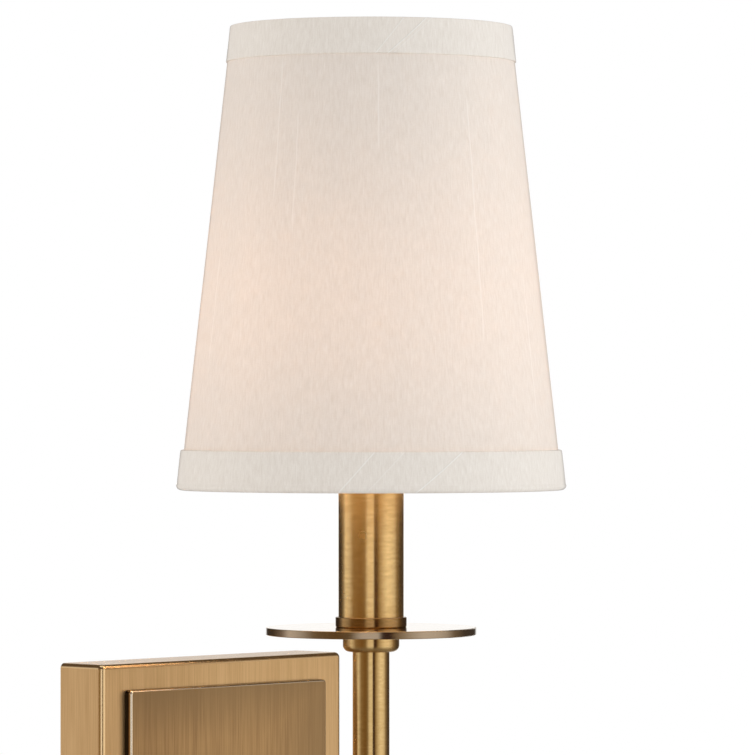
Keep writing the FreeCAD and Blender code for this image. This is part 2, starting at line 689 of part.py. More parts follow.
def socket_bracket():
    """The folded strip that lifts the lampholder off the pipe: a foot, one leg and a tab at the top."""
    leg_inside = BRACKET_REACH - BRACKET_SHEET
    eye_radius = PIPE_HOLE / 2 + BRACKET_EYE_WALL
    eye = Part.makeCylinder(eye_radius, BRACKET_SHEET, stem_point(0, BRACKET_BASE), UP)
    foot = bracket_box(0, BRACKET_REACH, BRACKET_BASE, BRACKET_BASE + BRACKET_SHEET)
    leg = bracket_box(leg_inside, BRACKET_REACH, BRACKET_BASE, SOCKET_BOTTOM)
    tab = bracket_box(BRACKET_REACH - BRACKET_TAB, BRACKET_REACH, SOCKET_BOTTOM - BRACKET_SHEET, SOCKET_BOTTOM)
    bracket = single(eye.fuse(foot).fuse(leg).fuse(tab))
    bracket = drilled(bracket, PIPE_HOLE, stem_point(0, BRACKET_BASE - 1), stem_point(0, BRACKET_BASE + 3))
    screw_hole = SOCKET_SCREW_DIAMETER + 2 * THREAD_CLEARANCE
    lower = stem_point(SOCKET_SCREW_OFFSET, SOCKET_BOTTOM - 3)
    return drilled(bracket, screw_hole, lower, stem_point(SOCKET_SCREW_OFFSET, SOCKET_BOTTOM + 1))


def socket_body():
    """The moulded lampholder body: a bore for the screw shell above and a wiring cavity below."""
    body = on_stem(tube_corners(0, SOCKET_DIAMETER, SOCKET_BOTTOM, SOCKET_TOP, 0.8))
    body = drilled(body, SOCKET_BORE, stem_point(0, SHELL_FLOOR), stem_point(0, SOCKET_TOP + 1))
    cavity_foot = stem_point(-SOCKET_CAVITY_OFFSET, SOCKET_BOTTOM - 1)
    body = drilled(body, SOCKET_CAVITY_DIAMETER, cavity_foot, stem_point(-SOCKET_CAVITY_OFFSET, CAVITY_TOP))
    rivet_top = stem_point(0, SHELL_FLOOR + 1)
    body = drilled(body, CONTACT_RIVET_DIAMETER, stem_point(0, CAVITY_TOP - 1), rivet_top)
    rivet_foot = stem_point(-SHELL_RIVET_OFFSET, CAVITY_TOP - 1)
    body = drilled(body, SHELL_RIVET_DIAMETER, rivet_foot, stem_point(-SHELL_RIVET_OFFSET, SHELL_FLOOR + 1))
    screw_foot = stem_point(SOCKET_SCREW_OFFSET, SOCKET_BOTTOM - 1)
    screw_end = stem_point(SOCKET_SCREW_OFFSET, SOCKET_BOTTOM + SOCKET_SCREW_LENGTH)
    return drilled(body, SOCKET_SCREW_DIAMETER, screw_foot, screw_end)


def socket_screw():
    """The screw that holds the lampholder body on the bracket's tab."""
    head_foot = SOCKET_BOTTOM - BRACKET_SHEET - SOCKET_SCREW_HEAD_HEIGHT
    shank = SOCKET_SCREW_DIAMETER / 2
    head = SOCKET_SCREW_HEAD / 2
    end = SOCKET_BOTTOM + SOCKET_SCREW_LENGTH
    return turned(
        [
            (0, head_foot, 0),
            (head, head_foot, 0.8),
            (head, SOCKET_BOTTOM - BRACKET_SHEET, 0),
            (shank, SOCKET_BOTTOM - BRACKET_SHEET, 0),
            (shank, end, 0),
            (0, end, 0),
        ],
        DISC_CENTRE + SIDEWAYS * SOCKET_SCREW_OFFSET,
        UP,
    )


def socket_shell():
    """The screw shell with its pierced floor and the rivet that carries the neutral side through the body."""
    floor_top = SHELL_FLOOR + SOCKET_SHELL_WALL
    shell = on_stem(
        [
            (SHELL_FLOOR_HOLE / 2, SHELL_FLOOR, 0),
            (SHELL_DIAMETER / 2, SHELL_FLOOR, 0),
            (SHELL_DIAMETER / 2, SHELL_FLOOR + SOCKET_SHELL_LENGTH, 0),
            (SHELL_BORE / 2, SHELL_FLOOR + SOCKET_SHELL_LENGTH, 0),
            (SHELL_BORE / 2, floor_top, 0),
            (SHELL_FLOOR_HOLE / 2, floor_top, 0),
        ]
    )
    rivet_foot = stem_point(-SHELL_RIVET_OFFSET, CAVITY_TOP - RIVET_TAIL)
    rivet = Part.makeCylinder(SHELL_RIVET_DIAMETER / 2, floor_top - CAVITY_TOP + RIVET_TAIL, rivet_foot, UP)
    return single(shell.fuse(rivet))


def socket_contact():
    """The centre contact: a rivet through the body under a sprung dome."""
    rivet = CONTACT_RIVET_DIAMETER / 2
    head = CONTACT_HEAD_DIAMETER / 2
    return on_stem(
        [
            (0, CAVITY_TOP - RIVET_TAIL, 0),
            (rivet, CAVITY_TOP - RIVET_TAIL, 0),
            (rivet, SHELL_FLOOR, 0),
            (head, SHELL_FLOOR, 0),
            (head, SHELL_FLOOR + CONTACT_HEIGHT * 0.3, 0.2),
            (head * 0.6, SHELL_FLOOR + CONTACT_HEIGHT, 0.6),
            (0, SHELL_FLOOR + CONTACT_HEIGHT, 0),
        ]
    )


def insulating_sleeve():
    """The card sleeve between the lampholder and the candle tube."""
    return on_stem(tube_corners(SLEEVE_BORE, SLEEVE_DIAMETER, CUP_FLOOR, SOCKET_TOP))


# ---- Bulb ---------------------------------------------------------------------------------------------------------
def bulb_radius(height, wall=0.0):
    """The glass's radius at a height above the disc, or its inner radius where a wall is given."""
    neck = BULB_NECK_DIAMETER / 2 - wall
    widest = BULB_DIAMETER / 2 - wall
    if height <= BULB_CAP_TOP:
        return neck
    if height <= BULB_WIDEST:
        share = (height - BULB_CAP_TOP) / BULB_FLARE_LENGTH
        return neck + (widest - neck) * (1 - math.cos(math.pi * share)) / 2
    share = min((height - BULB_WIDEST) / (BULB_TOP - wall - BULB_WIDEST), 1.0)
    return widest * (1 - share ** 1.8) ** 0.62


def bulb_blank(wall):
    """The solid inside the glass's outer face, or inside its inner face where a wall is given."""
    foot = BULB_CAP_TOP - BULB_NECK_DEPTH
    top = BULB_TOP - wall
    steps = 8
    flare = []
    crown = []
    for step in range(steps + 1):
        height = BULB_CAP_TOP + BULB_FLARE_LENGTH * step / steps
        flare.append(stem_point(bulb_radius(height, wall), height))
        height = BULB_WIDEST + (top - BULB_WIDEST) * math.sin(math.pi / 2 * step / steps)
        crown.append(stem_point(bulb_radius(height, wall), height))
    flare_curve = Part.BSplineCurve()
    flare_curve.interpolate(Points=flare, InitialTangent=UP, FinalTangent=UP)
    crown_curve = Part.BSplineCurve()
    crown_curve.interpolate(Points=crown, InitialTangent=UP, FinalTangent=SIDEWAYS * -1)
    neck = bulb_radius(foot, wall)
    outline = Part.Wire(
        [
            Part.LineSegment(stem_point(0, foot), stem_point(neck, foot)).toShape(),
            Part.LineSegment(stem_point(neck, foot), flare[0]).toShape(),
            flare_curve.toShape(),
            crown_curve.toShape(),
            Part.LineSegment(crown[-1], stem_point(0, foot)).toShape(),
        ]
    )
    return Part.Face(outline).revolve(DISC_CENTRE, UP, 360)


def bulb_glass():
    """The hollow torpedo envelope, open at its neck."""
    return bulb_blank(0.0).cut(bulb_blank(BULB_GLASS_WALL))


def bulb_contact():
    """The solder tip under the cap."""
    tip = BULB_TIP_DIAMETER / 2
    top = BULB_FOOT + BULB_TIP_HEIGHT
    return on_stem([(0, BULB_FOOT, 0), (tip * 0.8, BULB_FOOT, 0.3), (tip, top, 0), (0, top, 0)])


def bulb_insulator():
    """The dark glass cone between tip and cap."""
    foot = BULB_FOOT + BULB_TIP_HEIGHT
    top = foot + BULB_INSULATOR_HEIGHT
    tip = BULB_TIP_DIAMETER / 2 + 0.6
    cap = BULB_CAP_BORE / 2 - 0.2
    return on_stem([(0, foot, 0), (tip, foot, 0), (cap, top, 0), (0, top, 0)])


def bulb_cap():
    """The screw cap's metal shell."""
    lip = BULB_CAP_BORE / 2 - 1.4
    return on_stem(
        [
            (lip, BULB_CAP_FOOT, 0),
            (BULB_CAP_DIAMETER / 2 - 0.4, BULB_CAP_FOOT, 0),
            (BULB_CAP_DIAMETER / 2, BULB_CAP_FOOT + 1.2, 0.5),
            (BULB_CAP_DIAMETER / 2, BULB_CAP_TOP, 0),
            (BULB_CAP_BORE / 2, BULB_CAP_TOP, 0),
            (BULB_CAP_BORE / 2, BULB_CAP_FOOT + 1.2, 0),
            (lip, BULB_CAP_FOOT + 0.5, 0),
        ]
    )


def bulb_stem():
    """The glass mount: a flare that seals the neck and the rod that carries the filament."""
    foot = BULB_CAP_TOP - BULB_NECK_DEPTH
    flare = BULB_NECK_DIAMETER / 2 - BULB_GLASS_WALL
    rod = BULB_STEM_DIAMETER / 2
    top = foot + BULB_STEM_LENGTH
    return on_stem(
        [
            (0, foot, 0),
            (flare, foot, 0),
            (flare, foot + BULB_STEM_RIM, 0),
            (rod, foot + BULB_STEM_FLARE_LENGTH, 4),
            (rod, top, 1),
            (0, top, 0),
        ]
    )


def bulb_filament():
    """The lead-in wires and the arched filament between them, as one bent wire."""
    foot = BULB_CAP_TOP - BULB_NECK_DEPTH + BULB_STEM_LENGTH
    near = BULB_STEM_DIAMETER / 2 - 1
    wide = FILAMENT_SPREAD / 2
    shoulder = foot + FILAMENT_HEIGHT * 0.7
    top = foot + FILAMENT_HEIGHT
    corners = [
        (stem_point(-near, foot), 0),
        (stem_point(-near, foot + 4), 3),
        (stem_point(-wide, shoulder), 3),
        (stem_point(0, top), 2.5),
        (stem_point(wide, shoulder), 3),
        (stem_point(near, foot + 4), 3),
        (stem_point(near, foot), 0),
    ]
    return wire_along(corners, FILAMENT_DIAMETER)


# ---- Shade --------------------------------------------------------------------------------------------------------
def fabric_radius(height):
    """The cone of the fabric's outer face at a height above the disc."""
    share = (height - SHADE_RISE) / SHADE_HEIGHT
    return (SHADE_BOTTOM_DIAMETER + (SHADE_TOP_DIAMETER - SHADE_BOTTOM_DIAMETER) * share) / 2


def cone_sheet(depth, thickness):
    """A sheet of the shade's wall, by how far its outer face lies inside the fabric's."""
    foot = SHADE_RISE + TAPE_THICKNESS
    top = SHADE_TOP - TAPE_THICKNESS
    return on_stem(
        [
            (fabric_radius(foot) - depth - thickness, foot, 0),
            (fabric_radius(foot) - depth, foot, 0),
            (fabric_radius(top) - depth, top, 0),
            (fabric_radius(top) - depth - thickness, top, 0),
        ]
    )


def wall_thickness():
    """Fabric and liner together."""
    return FABRIC_THICKNESS + LINER_THICKNESS


def top_ring_height():
    """Height of the top ring's centre line, close under the tape."""
    return SHADE_TOP - TAPE_THICKNESS - RING_WIRE / 2


def top_ring_radius():
    """Radius of the top ring's centre line, against the liner's inner face."""
    return fabric_radius(SHADE_TOP - TAPE_THICKNESS) - wall_thickness() - RING_WIRE / 2


def bottom_ring_height():
    """Height of the bottom ring's centre line, close above the tape."""
    return SHADE_RISE + TAPE_THICKNESS + RING_WIRE / 2


def bottom_ring_radius():
    """Radius of the bottom ring's centre line, against the liner's inner face where the wire's top touches it."""
    return fabric_radius(SHADE_RISE + TAPE_THICKNESS + RING_WIRE) - wall_thickness() - RING_WIRE / 2


def band(edge, inner_edge, outward_rise, lap_radius, lap_height, hem_radius):
    """A bound edge: tape over the fabric from inner_edge to edge, round the rim and down inside past the wire ring."""
    way = 1 if edge > inner_edge else -1
    rim = edge - way * TAPE_THICKNESS
    return on_stem(
        [
            (fabric_radius(inner_edge), inner_edge, 0),
            (fabric_radius(inner_edge) + outward_rise, inner_edge, BAND_EDGE_RADIUS),
            (fabric_radius(edge) + outward_rise, edge, hem_radius),
            (lap_radius - TAPE_THICKNESS, edge, TAPE_THICKNESS),
            (lap_radius - TAPE_THICKNESS, lap_height, 0),
            (lap_radius, lap_height, 0),
            (lap_radius, rim, 0),
            (fabric_radius(rim), rim, 0),
        ]
    )


def top_trim():
    """The bound band round the shade's top, notched where the spokes pass."""
    lap = top_ring_radius() - RING_WIRE / 2
    lap_height = top_ring_height() - RING_WIRE / 2
    trim = band(SHADE_TOP, SHADE_TOP - TOP_BAND_HEIGHT, TOP_BAND_RISE, lap, lap_height, TOP_BAND_RISE)
    for turn in range(SPOKE_COUNT):
        trim = trim.cut(spoke_blank(turn))
    return trim


def bottom_trim():
    """The bound band round the shade's foot."""
    lap = bottom_ring_radius() - RING_WIRE / 2
    lap_height = bottom_ring_height() + RING_WIRE / 2
    return band(SHADE_RISE, SHADE_RISE + BOTTOM_BAND_HEIGHT, BOTTOM_BAND_RISE, lap, lap_height, HEM_RADIUS)


def turned_about_stem(shape, degrees):
    """A copy of the shape turned about the stem's axis."""
    copy = shape.copy()
    copy.rotate(DISC_CENTRE, UP, degrees)
    return copy


def spoke_blank(turn):
    """One spoke from the top ring's centre line to the middle of the collar's wall."""
    inner = (COLLAR_DIAMETER + COLLAR_BORE) / 4
    foot = COLLAR_FOOT + COLLAR_HEIGHT / 2
    outer = top_ring_radius()
    top = top_ring_height()
    bend = 6.0
    corners = [
        (stem_point(outer, top), 0),
        (stem_point(outer - SPOKE_BEND_INSET, top - SPOKE_BEND_DROP), bend),
        (stem_point(COLLAR_DIAMETER / 2 + SPOKE_FOOT_LENGTH, foot), bend),
        (stem_point(inner, foot), 0),
    ]
    return turned_about_stem(wire_along(corners, SPOKE_WIRE), 360 / SPOKE_COUNT * turn + 90)


def shade_top_ring():
    """The wire ring in the top binding."""
    return wire_ring(2 * top_ring_radius(), RING_WIRE, top_ring_height())


def shade_bottom_ring():
    """The wire ring in the bottom binding."""
    return wire_ring(2 * bottom_ring_radius(), RING_WIRE, bottom_ring_height())


def clip_collar():
    """The small collar above the bulb where spokes and clip loops meet."""
    return on_stem(tube_corners(COLLAR_BORE, COLLAR_DIAMETER, COLLAR_FOOT, COLLAR_FOOT + COLLAR_HEIGHT, 0.5))


def shade_spokes():
    """The spokes, each ending at the ring's and the collar's face."""
    spokes = []
    for turn in range(SPOKE_COUNT):
        spokes.append(single(spoke_blank(turn).cut(shade_top_ring()).cut(clip_collar())))
    return group(spokes)


def clip_loop():
    """One wire loop over the bulb: down one flank, round at the widest part and back up to the collar."""
    neck = (COLLAR_DIAMETER + COLLAR_BORE) / 4
    standoff = CLIP_GAP + CLIP_WIRE / 2
    foot = BULB_TOP - CLIP_LENGTH
    corners = []
    for step in range(CLIP_STEPS + 1):
        share = 2 * step / CLIP_STEPS - 1
        height = foot + (BULB_TOP - 1 - foot) * share ** 2
        angle = math.radians(CLIP_HALF_ANGLE) * math.sin(math.pi / 2 * share)
        widest_above = BULB_DIAMETER / 2 if height < BULB_WIDEST else bulb_radius(height)
        radius = max(widest_above + standoff, neck)
        sideways = SIDEWAYS * (radius * math.cos(angle)) + OUTWARD * (radius * math.sin(angle))
        corners.append((DISC_CENTRE + sideways + UP * height, radius / 2))
    first = corners[0][0]
    last = corners[-1][0]
    corners.insert(0, (FreeCAD.Vector(first.x, first.y, DISC_CENTRE.z + COLLAR_FOOT), 0))
    corners.append((FreeCAD.Vector(last.x, last.y, DISC_CENTRE.z + COLLAR_FOOT), 0))
    return wire_along(corners, CLIP_WIRE)


def bulb_clip():
    """The two loops of the clip, on either side of the bulb."""
    loop = clip_loop()
    return group([turned_about_stem(loop, 360 / CLIP_LOOPS * turn) for turn in range(CLIP_LOOPS)])


# ---- Wiring -------------------------------------------------------------------------------------------------------
def power_lead(side, top_offset):
    """A lead from the lampholder, down the stem, through the hub and the arm, and into its wire nut."""
    aside = SIDEWAYS * (side * LEAD_SPACING / 2)
    top = stem_point(top_offset, CAVITY_TOP - RIVET_TAIL)
    entry = stem_point(top_offset, SOCKET_BOTTOM - LEAD_STRAIGHT)
    pipe_entry = DISC_CENTRE + aside + UP * (PIPE_TOP + LEAD_ENTRY_RISE)
    hub = HUB_CENTRE + aside
    behind_nipple = OUTWARD * LEAD_DEPTH + aside
    nut_side = OUTWARD * LEAD_DEPTH + SIDEWAYS * (side * WIRE_NUT_OFFSET) - UP * LEAD_SAG
    nut = wire_nut_mouth(side) - UP * WIRE_NUT_GRIP
    corners = [
        (top, 0),
        (entry, LEAD_BEND_RADIUS),
        (pipe_entry, LEAD_BEND_RADIUS),
        (hub, LEAD_BEND_RADIUS),
        (behind_nipple, 0.8 * LEAD_BEND_RADIUS),
        (nut_side, LEAD_BEND_RADIUS),
        (nut, 0),
    ]
    return wire_along(corners, LEAD_DIAMETER)


def wire_nut_mouth(side):
    """The centre of a wire nut's open end."""
    return SIDEWAYS * (side * WIRE_NUT_OFFSET) + OUTWARD * LEAD_DEPTH - UP * WIRE_NUT_DROP


def wire_nuts():
    """The two twist-on connectors that hang in the pan on the leads."""
    nuts = []
    radius = WIRE_NUT_DIAMETER / 2
    for side in (1, -1):
        mouth = wire_nut_mouth(side)
        corners = [
            (LEAD_HOLE / 2, 0, 0),
            (radius * 0.85, 0, 0.5),
            (radius, WIRE_NUT_LENGTH * 0.2, 1.5),
            (radius * 0.7, WIRE_NUT_LENGTH, 2.5),
            (0, WIRE_NUT_LENGTH, 0),
            (0, WIRE_NUT_GRIP, 0),
            (LEAD_HOLE / 2, WIRE_NUT_GRIP, 0),
        ]
        nuts.append(turned(corners, mouth, UP * -1))
    return group(nuts)


def ground_lead():
    """The bonding lead from the ring terminal on the arm to the screw on the strap."""
    barrel_top = UP * (TERMINAL_DIAMETER / 2 + 2 + TERMINAL_BARREL_LENGTH) + OUTWARD * terminal_barrel_distance()
    under_head = STRAP_THICKNESS + LEAD_DIAMETER / 2
    beside_screw = GROUND_SCREW_DIAMETER / 2 + LEAD_DIAMETER / 2 + THREAD_CLEARANCE
    screw = UP * GROUND_SCREW_HEIGHT + OUTWARD * under_head
    stud_side = STUD_NUT_FLATS / 2 + GROUND_LEAD_ASIDE
    crest = SIDEWAYS * stud_side + UP * (GROUND_SCREW_HEIGHT + GROUND_LEAD_CREST)
    corners = [
        (barrel_top - UP * (WIRE_NUT_GRIP / 2), 0),
        (barrel_top + UP * GROUND_LEAD_RISE, LEAD_BEND_RADIUS),
        (OUTWARD * GROUND_LEAD_DEPTH + crest, LEAD_BEND_RADIUS),
        (screw + SIDEWAYS * (stud_side + LEAD_STRAIGHT), LEAD_BEND_RADIUS),
        (screw + SIDEWAYS * beside_screw, 0),
    ]
    return wire_along(corners, LEAD_DIAMETER)


# ---- The nodes ----------------------------------------------------------------------------------------------------
def upright_tube(bore, outside, foot, top):
    """A plain tube about the stem, with heights above the disc's top face."""
    return on_stem(tube_corners(bore, outside, foot, top))


def nodes():
    """Every piece by its name."""
    upper, lower = stud_centres()
    hub_top = HUB_FLAT - DISC_RISE
    pipe_foot = hub_top - PIPE_ENGAGEMENT
    stem_top = -DISC_THICKNESS - BOSS_HEIGHT
    nipple_end = HUB_BACK + PIPE_ENGAGEMENT
    lower_pipe_start = HUB_FLAT - PIPE_ENGAGEMENT
    bracket_nut_foot = stem_point(0, BRACKET_BASE + BRACKET_SHEET)
    arm_nut_foot = OUTWARD * (arm_hex_nut_foot() - PIPE_NUT_HEIGHT)
    return {
        "mounting_strap": mounting_strap(),
        "mounting_studs": mounting_studs(),
        "stud_locknuts": stud_locknuts(),
        "ground_screw": ground_screw(),
        "back_plate": back_plate(),
        "face_panel": face_panel(),
        "upper_cap_washer": cap_washer(upper),
        "upper_cap_nut": cap_nut(upper),
        "lower_cap_washer": cap_washer(lower),
        "lower_cap_nut": cap_nut(lower),
        "arm_flange": arm_flange(),
        "arm_tube": on_arm(tube_corners(STEM_BORE, STEM_DIAMETER, ARM_TUBE_START, HUB_BACK)),
        "arm_nipple": on_arm(tube_corners(PIPE_BORE, PIPE_DIAMETER, NIPPLE_START, nipple_end)),
        "arm_lock_washer": arm_lock_washer(),
        "arm_hex_nut": hexagon_nut(PIPE_NUT_FLATS, PIPE_NUT_HEIGHT, PIPE_HOLE, arm_nut_foot, OUTWARD),
        "ground_terminal": ground_terminal(),
        "hub_ball": hub_ball(),
        "lower_pipe": below_hub(tube_corners(PIPE_BORE, PIPE_DIAMETER, lower_pipe_start, finial_seat())),
        "lower_stem_tube": below_hub(tube_corners(STEM_BORE, STEM_DIAMETER, HUB_FLAT, LOWER_STEM_END)),
        "tail_collar": tail_collar(),
        "tail_disc": below_hub(tube_corners(PIPE_HOLE, TAIL_DISC_DIAMETER, TAIL_DISC_TOP, FINIAL_START, 0.6)),
        "tail_finial": tail_finial(),
        "upper_pipe": upright_tube(PIPE_BORE, PIPE_DIAMETER, pipe_foot, PIPE_TOP),
        "stem_tube": upright_tube(STEM_BORE, STEM_DIAMETER, hub_top, stem_top),
        "neck_boss": neck_boss(),
        "drip_disc": on_stem(tube_corners(PIPE_HOLE, DISC_DIAMETER, -DISC_THICKNESS, 0, DISC_EDGE_RADIUS)),
        "candle_cup": candle_cup(),
        "pipe_nut": hexagon_nut(PIPE_NUT_FLATS, PIPE_NUT_HEIGHT, PIPE_HOLE, stem_point(0, CUP_FLOOR), UP),
        "socket_bracket": socket_bracket(),
        "bracket_nut": hexagon_nut(PIPE_NUT_FLATS * 0.8, PIPE_NUT_HEIGHT, PIPE_HOLE, bracket_nut_foot, UP),
        "socket_screw": socket_screw(),
        "socket_body": socket_body(),
        "socket_shell": socket_shell(),
        "socket_contact": socket_contact(),
        "insulating_sleeve": insulating_sleeve(),
        "candle_tube": upright_tube(CANDLE_BORE, CANDLE_DIAMETER, CUP_FLOOR, CANDLE_HEIGHT),
        "bulb_contact": bulb_contact(),
        "bulb_insulator": bulb_insulator(),
        "bulb_cap": bulb_cap(),
        "bulb_glass": bulb_glass(),
        "bulb_stem": bulb_stem(),
        "bulb_filament": bulb_filament(),
        "shade_top_ring": shade_top_ring(),
        "shade_bottom_ring": shade_bottom_ring(),
        "shade_spokes": shade_spokes(),
        "clip_collar": clip_collar(),
        "bulb_clip": bulb_clip(),
        "shade_liner": cone_sheet(FABRIC_THICKNESS, LINER_THICKNESS),
        "shade_fabric": cone_sheet(0, FABRIC_THICKNESS),
        "top_trim": top_trim(),
        "bottom_trim": bottom_trim(),
        "hot_lead": power_lead(1, 0),
        "neutral_lead": power_lead(-1, -SHELL_RIVET_OFFSET),
        "ground_lead": ground_lead(),
        "wire_nuts": wire_nuts(),
    }


def main():
    """Write each node to its own file."""
    os.makedirs("parts", exist_ok=True)
    for name, shape in nodes().items():
        if not shape.isValid():
            print("not valid: " + name)
        shape.exportStep("parts/" + name + ".step")


main()
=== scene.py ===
import logging
import math
from dataclasses import dataclass
from enum import Enum
from typing import Callable, Iterable, Sequence

import bmesh
import bpy
import numpy as np
from mathutils import Matrix, Vector


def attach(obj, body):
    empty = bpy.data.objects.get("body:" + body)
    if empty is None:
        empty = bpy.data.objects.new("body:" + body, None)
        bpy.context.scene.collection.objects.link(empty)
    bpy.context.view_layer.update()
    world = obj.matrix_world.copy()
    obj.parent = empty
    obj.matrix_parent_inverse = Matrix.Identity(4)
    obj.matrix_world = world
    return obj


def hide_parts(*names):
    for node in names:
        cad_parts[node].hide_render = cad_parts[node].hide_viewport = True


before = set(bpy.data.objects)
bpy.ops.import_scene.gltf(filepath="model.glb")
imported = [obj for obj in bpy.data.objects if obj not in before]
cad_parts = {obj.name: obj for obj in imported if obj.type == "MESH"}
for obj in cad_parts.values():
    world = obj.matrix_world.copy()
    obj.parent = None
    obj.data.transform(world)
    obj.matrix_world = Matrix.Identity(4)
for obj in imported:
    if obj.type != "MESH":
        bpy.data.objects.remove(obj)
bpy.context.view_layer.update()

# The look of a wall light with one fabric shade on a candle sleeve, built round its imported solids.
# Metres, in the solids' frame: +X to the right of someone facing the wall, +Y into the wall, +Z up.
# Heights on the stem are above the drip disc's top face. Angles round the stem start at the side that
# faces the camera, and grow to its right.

LOG = logging.getLogger("wall_light")

MM = 0.001
STEM_AXIS = Vector((0.0, -0.089, 0.1145))
CAMERA_YAW = 0.8324
FACING = math.pi * 1.5 - CAMERA_YAW

Colour = tuple[float, float, float]
Place = tuple[float, float, float]
Point = tuple[float, float]
Socket = bpy.types.NodeSocket

# The levels between which a noise pattern's value mostly lies, and the closer ones that leave it patchy.
NOISE_LOW = 0.3
NOISE_HIGH = 0.7
PATCHY_LOW = 0.35


def grey(level: float) -> Colour:
    """A neutral colour of one level."""
    return (level, level, level)


def scaled(colour: Colour, factor: float) -> Colour:
    """A darker or lighter colour of the same hue."""
    return (factor * colour[0], factor * colour[1], factor * colour[2])


# Node trees
class Shader:
    """A node tree that is written one node at a time.

    Args:
        owner: The material or the world that the tree belongs to.
    """

    def __init__(self, owner: bpy.types.Material | bpy.types.World) -> None:
        self.owner = owner
        owner.use_nodes = True
        self.tree = owner.node_tree
        self.tree.nodes.clear()

    @classmethod
    def named(cls, name: str) -> "Shader":
        """The empty tree of a new material."""
        return cls(bpy.data.materials.new(name))

    def node(self, kind: str, values: dict | None = None, **settings: object) -> bpy.types.Node:
        """Adds a node.

        Args:
            kind: The node type without its "ShaderNode" prefix.
            values: What goes into each input, by name or index: a constant or another node's socket.
            settings: The node's own properties.

        Returns:
            The new node.
        """
        made = self.tree.nodes.new("ShaderNode" + kind)
        for name, value in settings.items():
            setattr(made, name, value)
        for socket, value in (values or {}).items():
            self.feed(made.inputs[socket], value)
        return made

    def feed(self, socket: Socket, value: object) -> None:
        """Links a socket into the input, or sets a constant on it.

        Args:
            socket: The input.
            value: A constant, a colour without its alpha, or another node's socket.
        """
        if isinstance(value, bpy.types.NodeSocket):
            self.tree.links.new(value, socket)
        elif socket.type == "RGBA":
            socket.default_value = (*value, 1.0)
        else:
            socket.default_value = value

    def math(self, operation: str, *values: object) -> Socket:
        """The result of a scalar operation on constants or sockets."""
        return self.node("Math", dict(enumerate(values)), operation=operation).outputs[0]

    def plus(self, first: object, second: object) -> Socket:
        """The sum of two constants or sockets."""
        return self.math("ADD", first, second)

    def minus(self, first: object, second: object) -> Socket:
        """The first less the second."""
        return self.math("SUBTRACT", first, second)

    def times(self, first: object, second: object) -> Socket:
        """The product of two constants or sockets."""
        return self.math("MULTIPLY", first, second)

    def vector(self, operation: str, *values: object) -> bpy.types.Node:
        """A vector operation's node, for its vector or its value output."""
        return self.node("VectorMath", dict(enumerate(values)), operation=operation)

    def stretched(self, vector: Socket, factors: Place) -> Socket:
        """A vector with each component multiplied by its factor."""
        return self.vector("MULTIPLY", vector, factors).outputs[0]

    def noise(
        self, place: Socket, scale: float = 1.0, detail: float = 2.0, roughness: float = 0.5
    ) -> Socket:
        """A noise pattern's value from 0 to 1."""
        values = {"Vector": place, "Scale": scale, "Detail": detail, "Roughness": roughness}
        return self.node("TexNoise", values).outputs[0]

    def span(self, value: Socket, low: float, high: float, start: float, end: float) -> Socket:
        """The value carried from one range to another, held at the ends."""
        values = {"Value": value, "From Min": low, "From Max": high, "To Min": start, "To Max": end}
        return self.node("MapRange", values).outputs[0]

    def spread(self, noise: Socket, start: float, end: float) -> Socket:
        """A noise pattern's usual range carried to another."""
        return self.span(noise, NOISE_LOW, NOISE_HIGH, start, end)

    def blended(self, share: object, first: object, second: object) -> Socket:
        """A colour between two, by a share from 0 to 1."""
        made = self.node("Mix", {0: share, 6: first, 7: second}, data_type="RGBA")
        return made.outputs[2]

    def ramp(self, share: Socket, stops: Sequence[tuple[float, Colour]]) -> Socket:
        """Reads a colour from stops along a line.

        Args:
            share: The place on the line, from 0 to 1.
            stops: Places and their colours, in order.

        Returns:
            The colour there.
        """
        made = self.node("ValToRGB", {0: share})
        elements = made.color_ramp.elements
        for element, (position, colour) in zip(elements, (stops[0], stops[-1])):
            element.position = position
            element.color = (*colour, 1.0)
        for position, colour in stops[1:-1]:
            elements.new(position).color = (*colour, 1.0)
        return made.outputs[0]

    def bump(self, height: Socket, distance: float, normal: Socket | None = None) -> Socket:
        """Bends a normal by a height.

        Args:
            height: The height, in units of the distance.
            distance: The unit in metres.
            normal: The normal to bend, if it isn't the surface's own.

        Returns:
            The bent normal.
        """
        values = {"Height": height, "Distance": distance}
        if normal is not None:
            values["Normal"] = normal
        return self.node("Bump", values).outputs[0]

    def place(self) -> Socket:
        """The point in the piece's own frame, which stays with the piece when its body moves."""
        return self.node("TexCoord").outputs["Object"]

    def parts_of(self, vector: Socket) -> tuple[Socket, Socket, Socket]:
        """The three components of a vector."""
        made = self.node("SeparateXYZ", {0: vector})
        return made.outputs[0], made.outputs[1], made.outputs[2]

    def joined(self, x: object, y: object, z: object) -> Socket:
        """A vector from three components."""
        return self.node("CombineXYZ", {0: x, 1: y, 2: z}).outputs[0]

    def mixed(self, share: object, first: Socket, second: Socket) -> Socket:
        """A surface between two, by a share from 0 to 1."""
        return self.node("MixShader", {0: share, 1: first, 2: second}).outputs[0]

    def principled(self, values: dict) -> Socket:
        """A surface with the given inputs."""
        return self.node("BsdfPrincipled", values).outputs[0]

    def done(self, surface: Socket) -> bpy.types.Material:
        """Puts the surface on the material and returns it."""
        self.node("OutputMaterial", {"Surface": surface})
        return self.owner


# Finishes
class Grain(Enum):
    """Which way a metal's brush marks run."""

    ROUND_STEM = "round the stem"
    ROUND_ARM = "round the arm"
    UPRIGHT = "up and down"


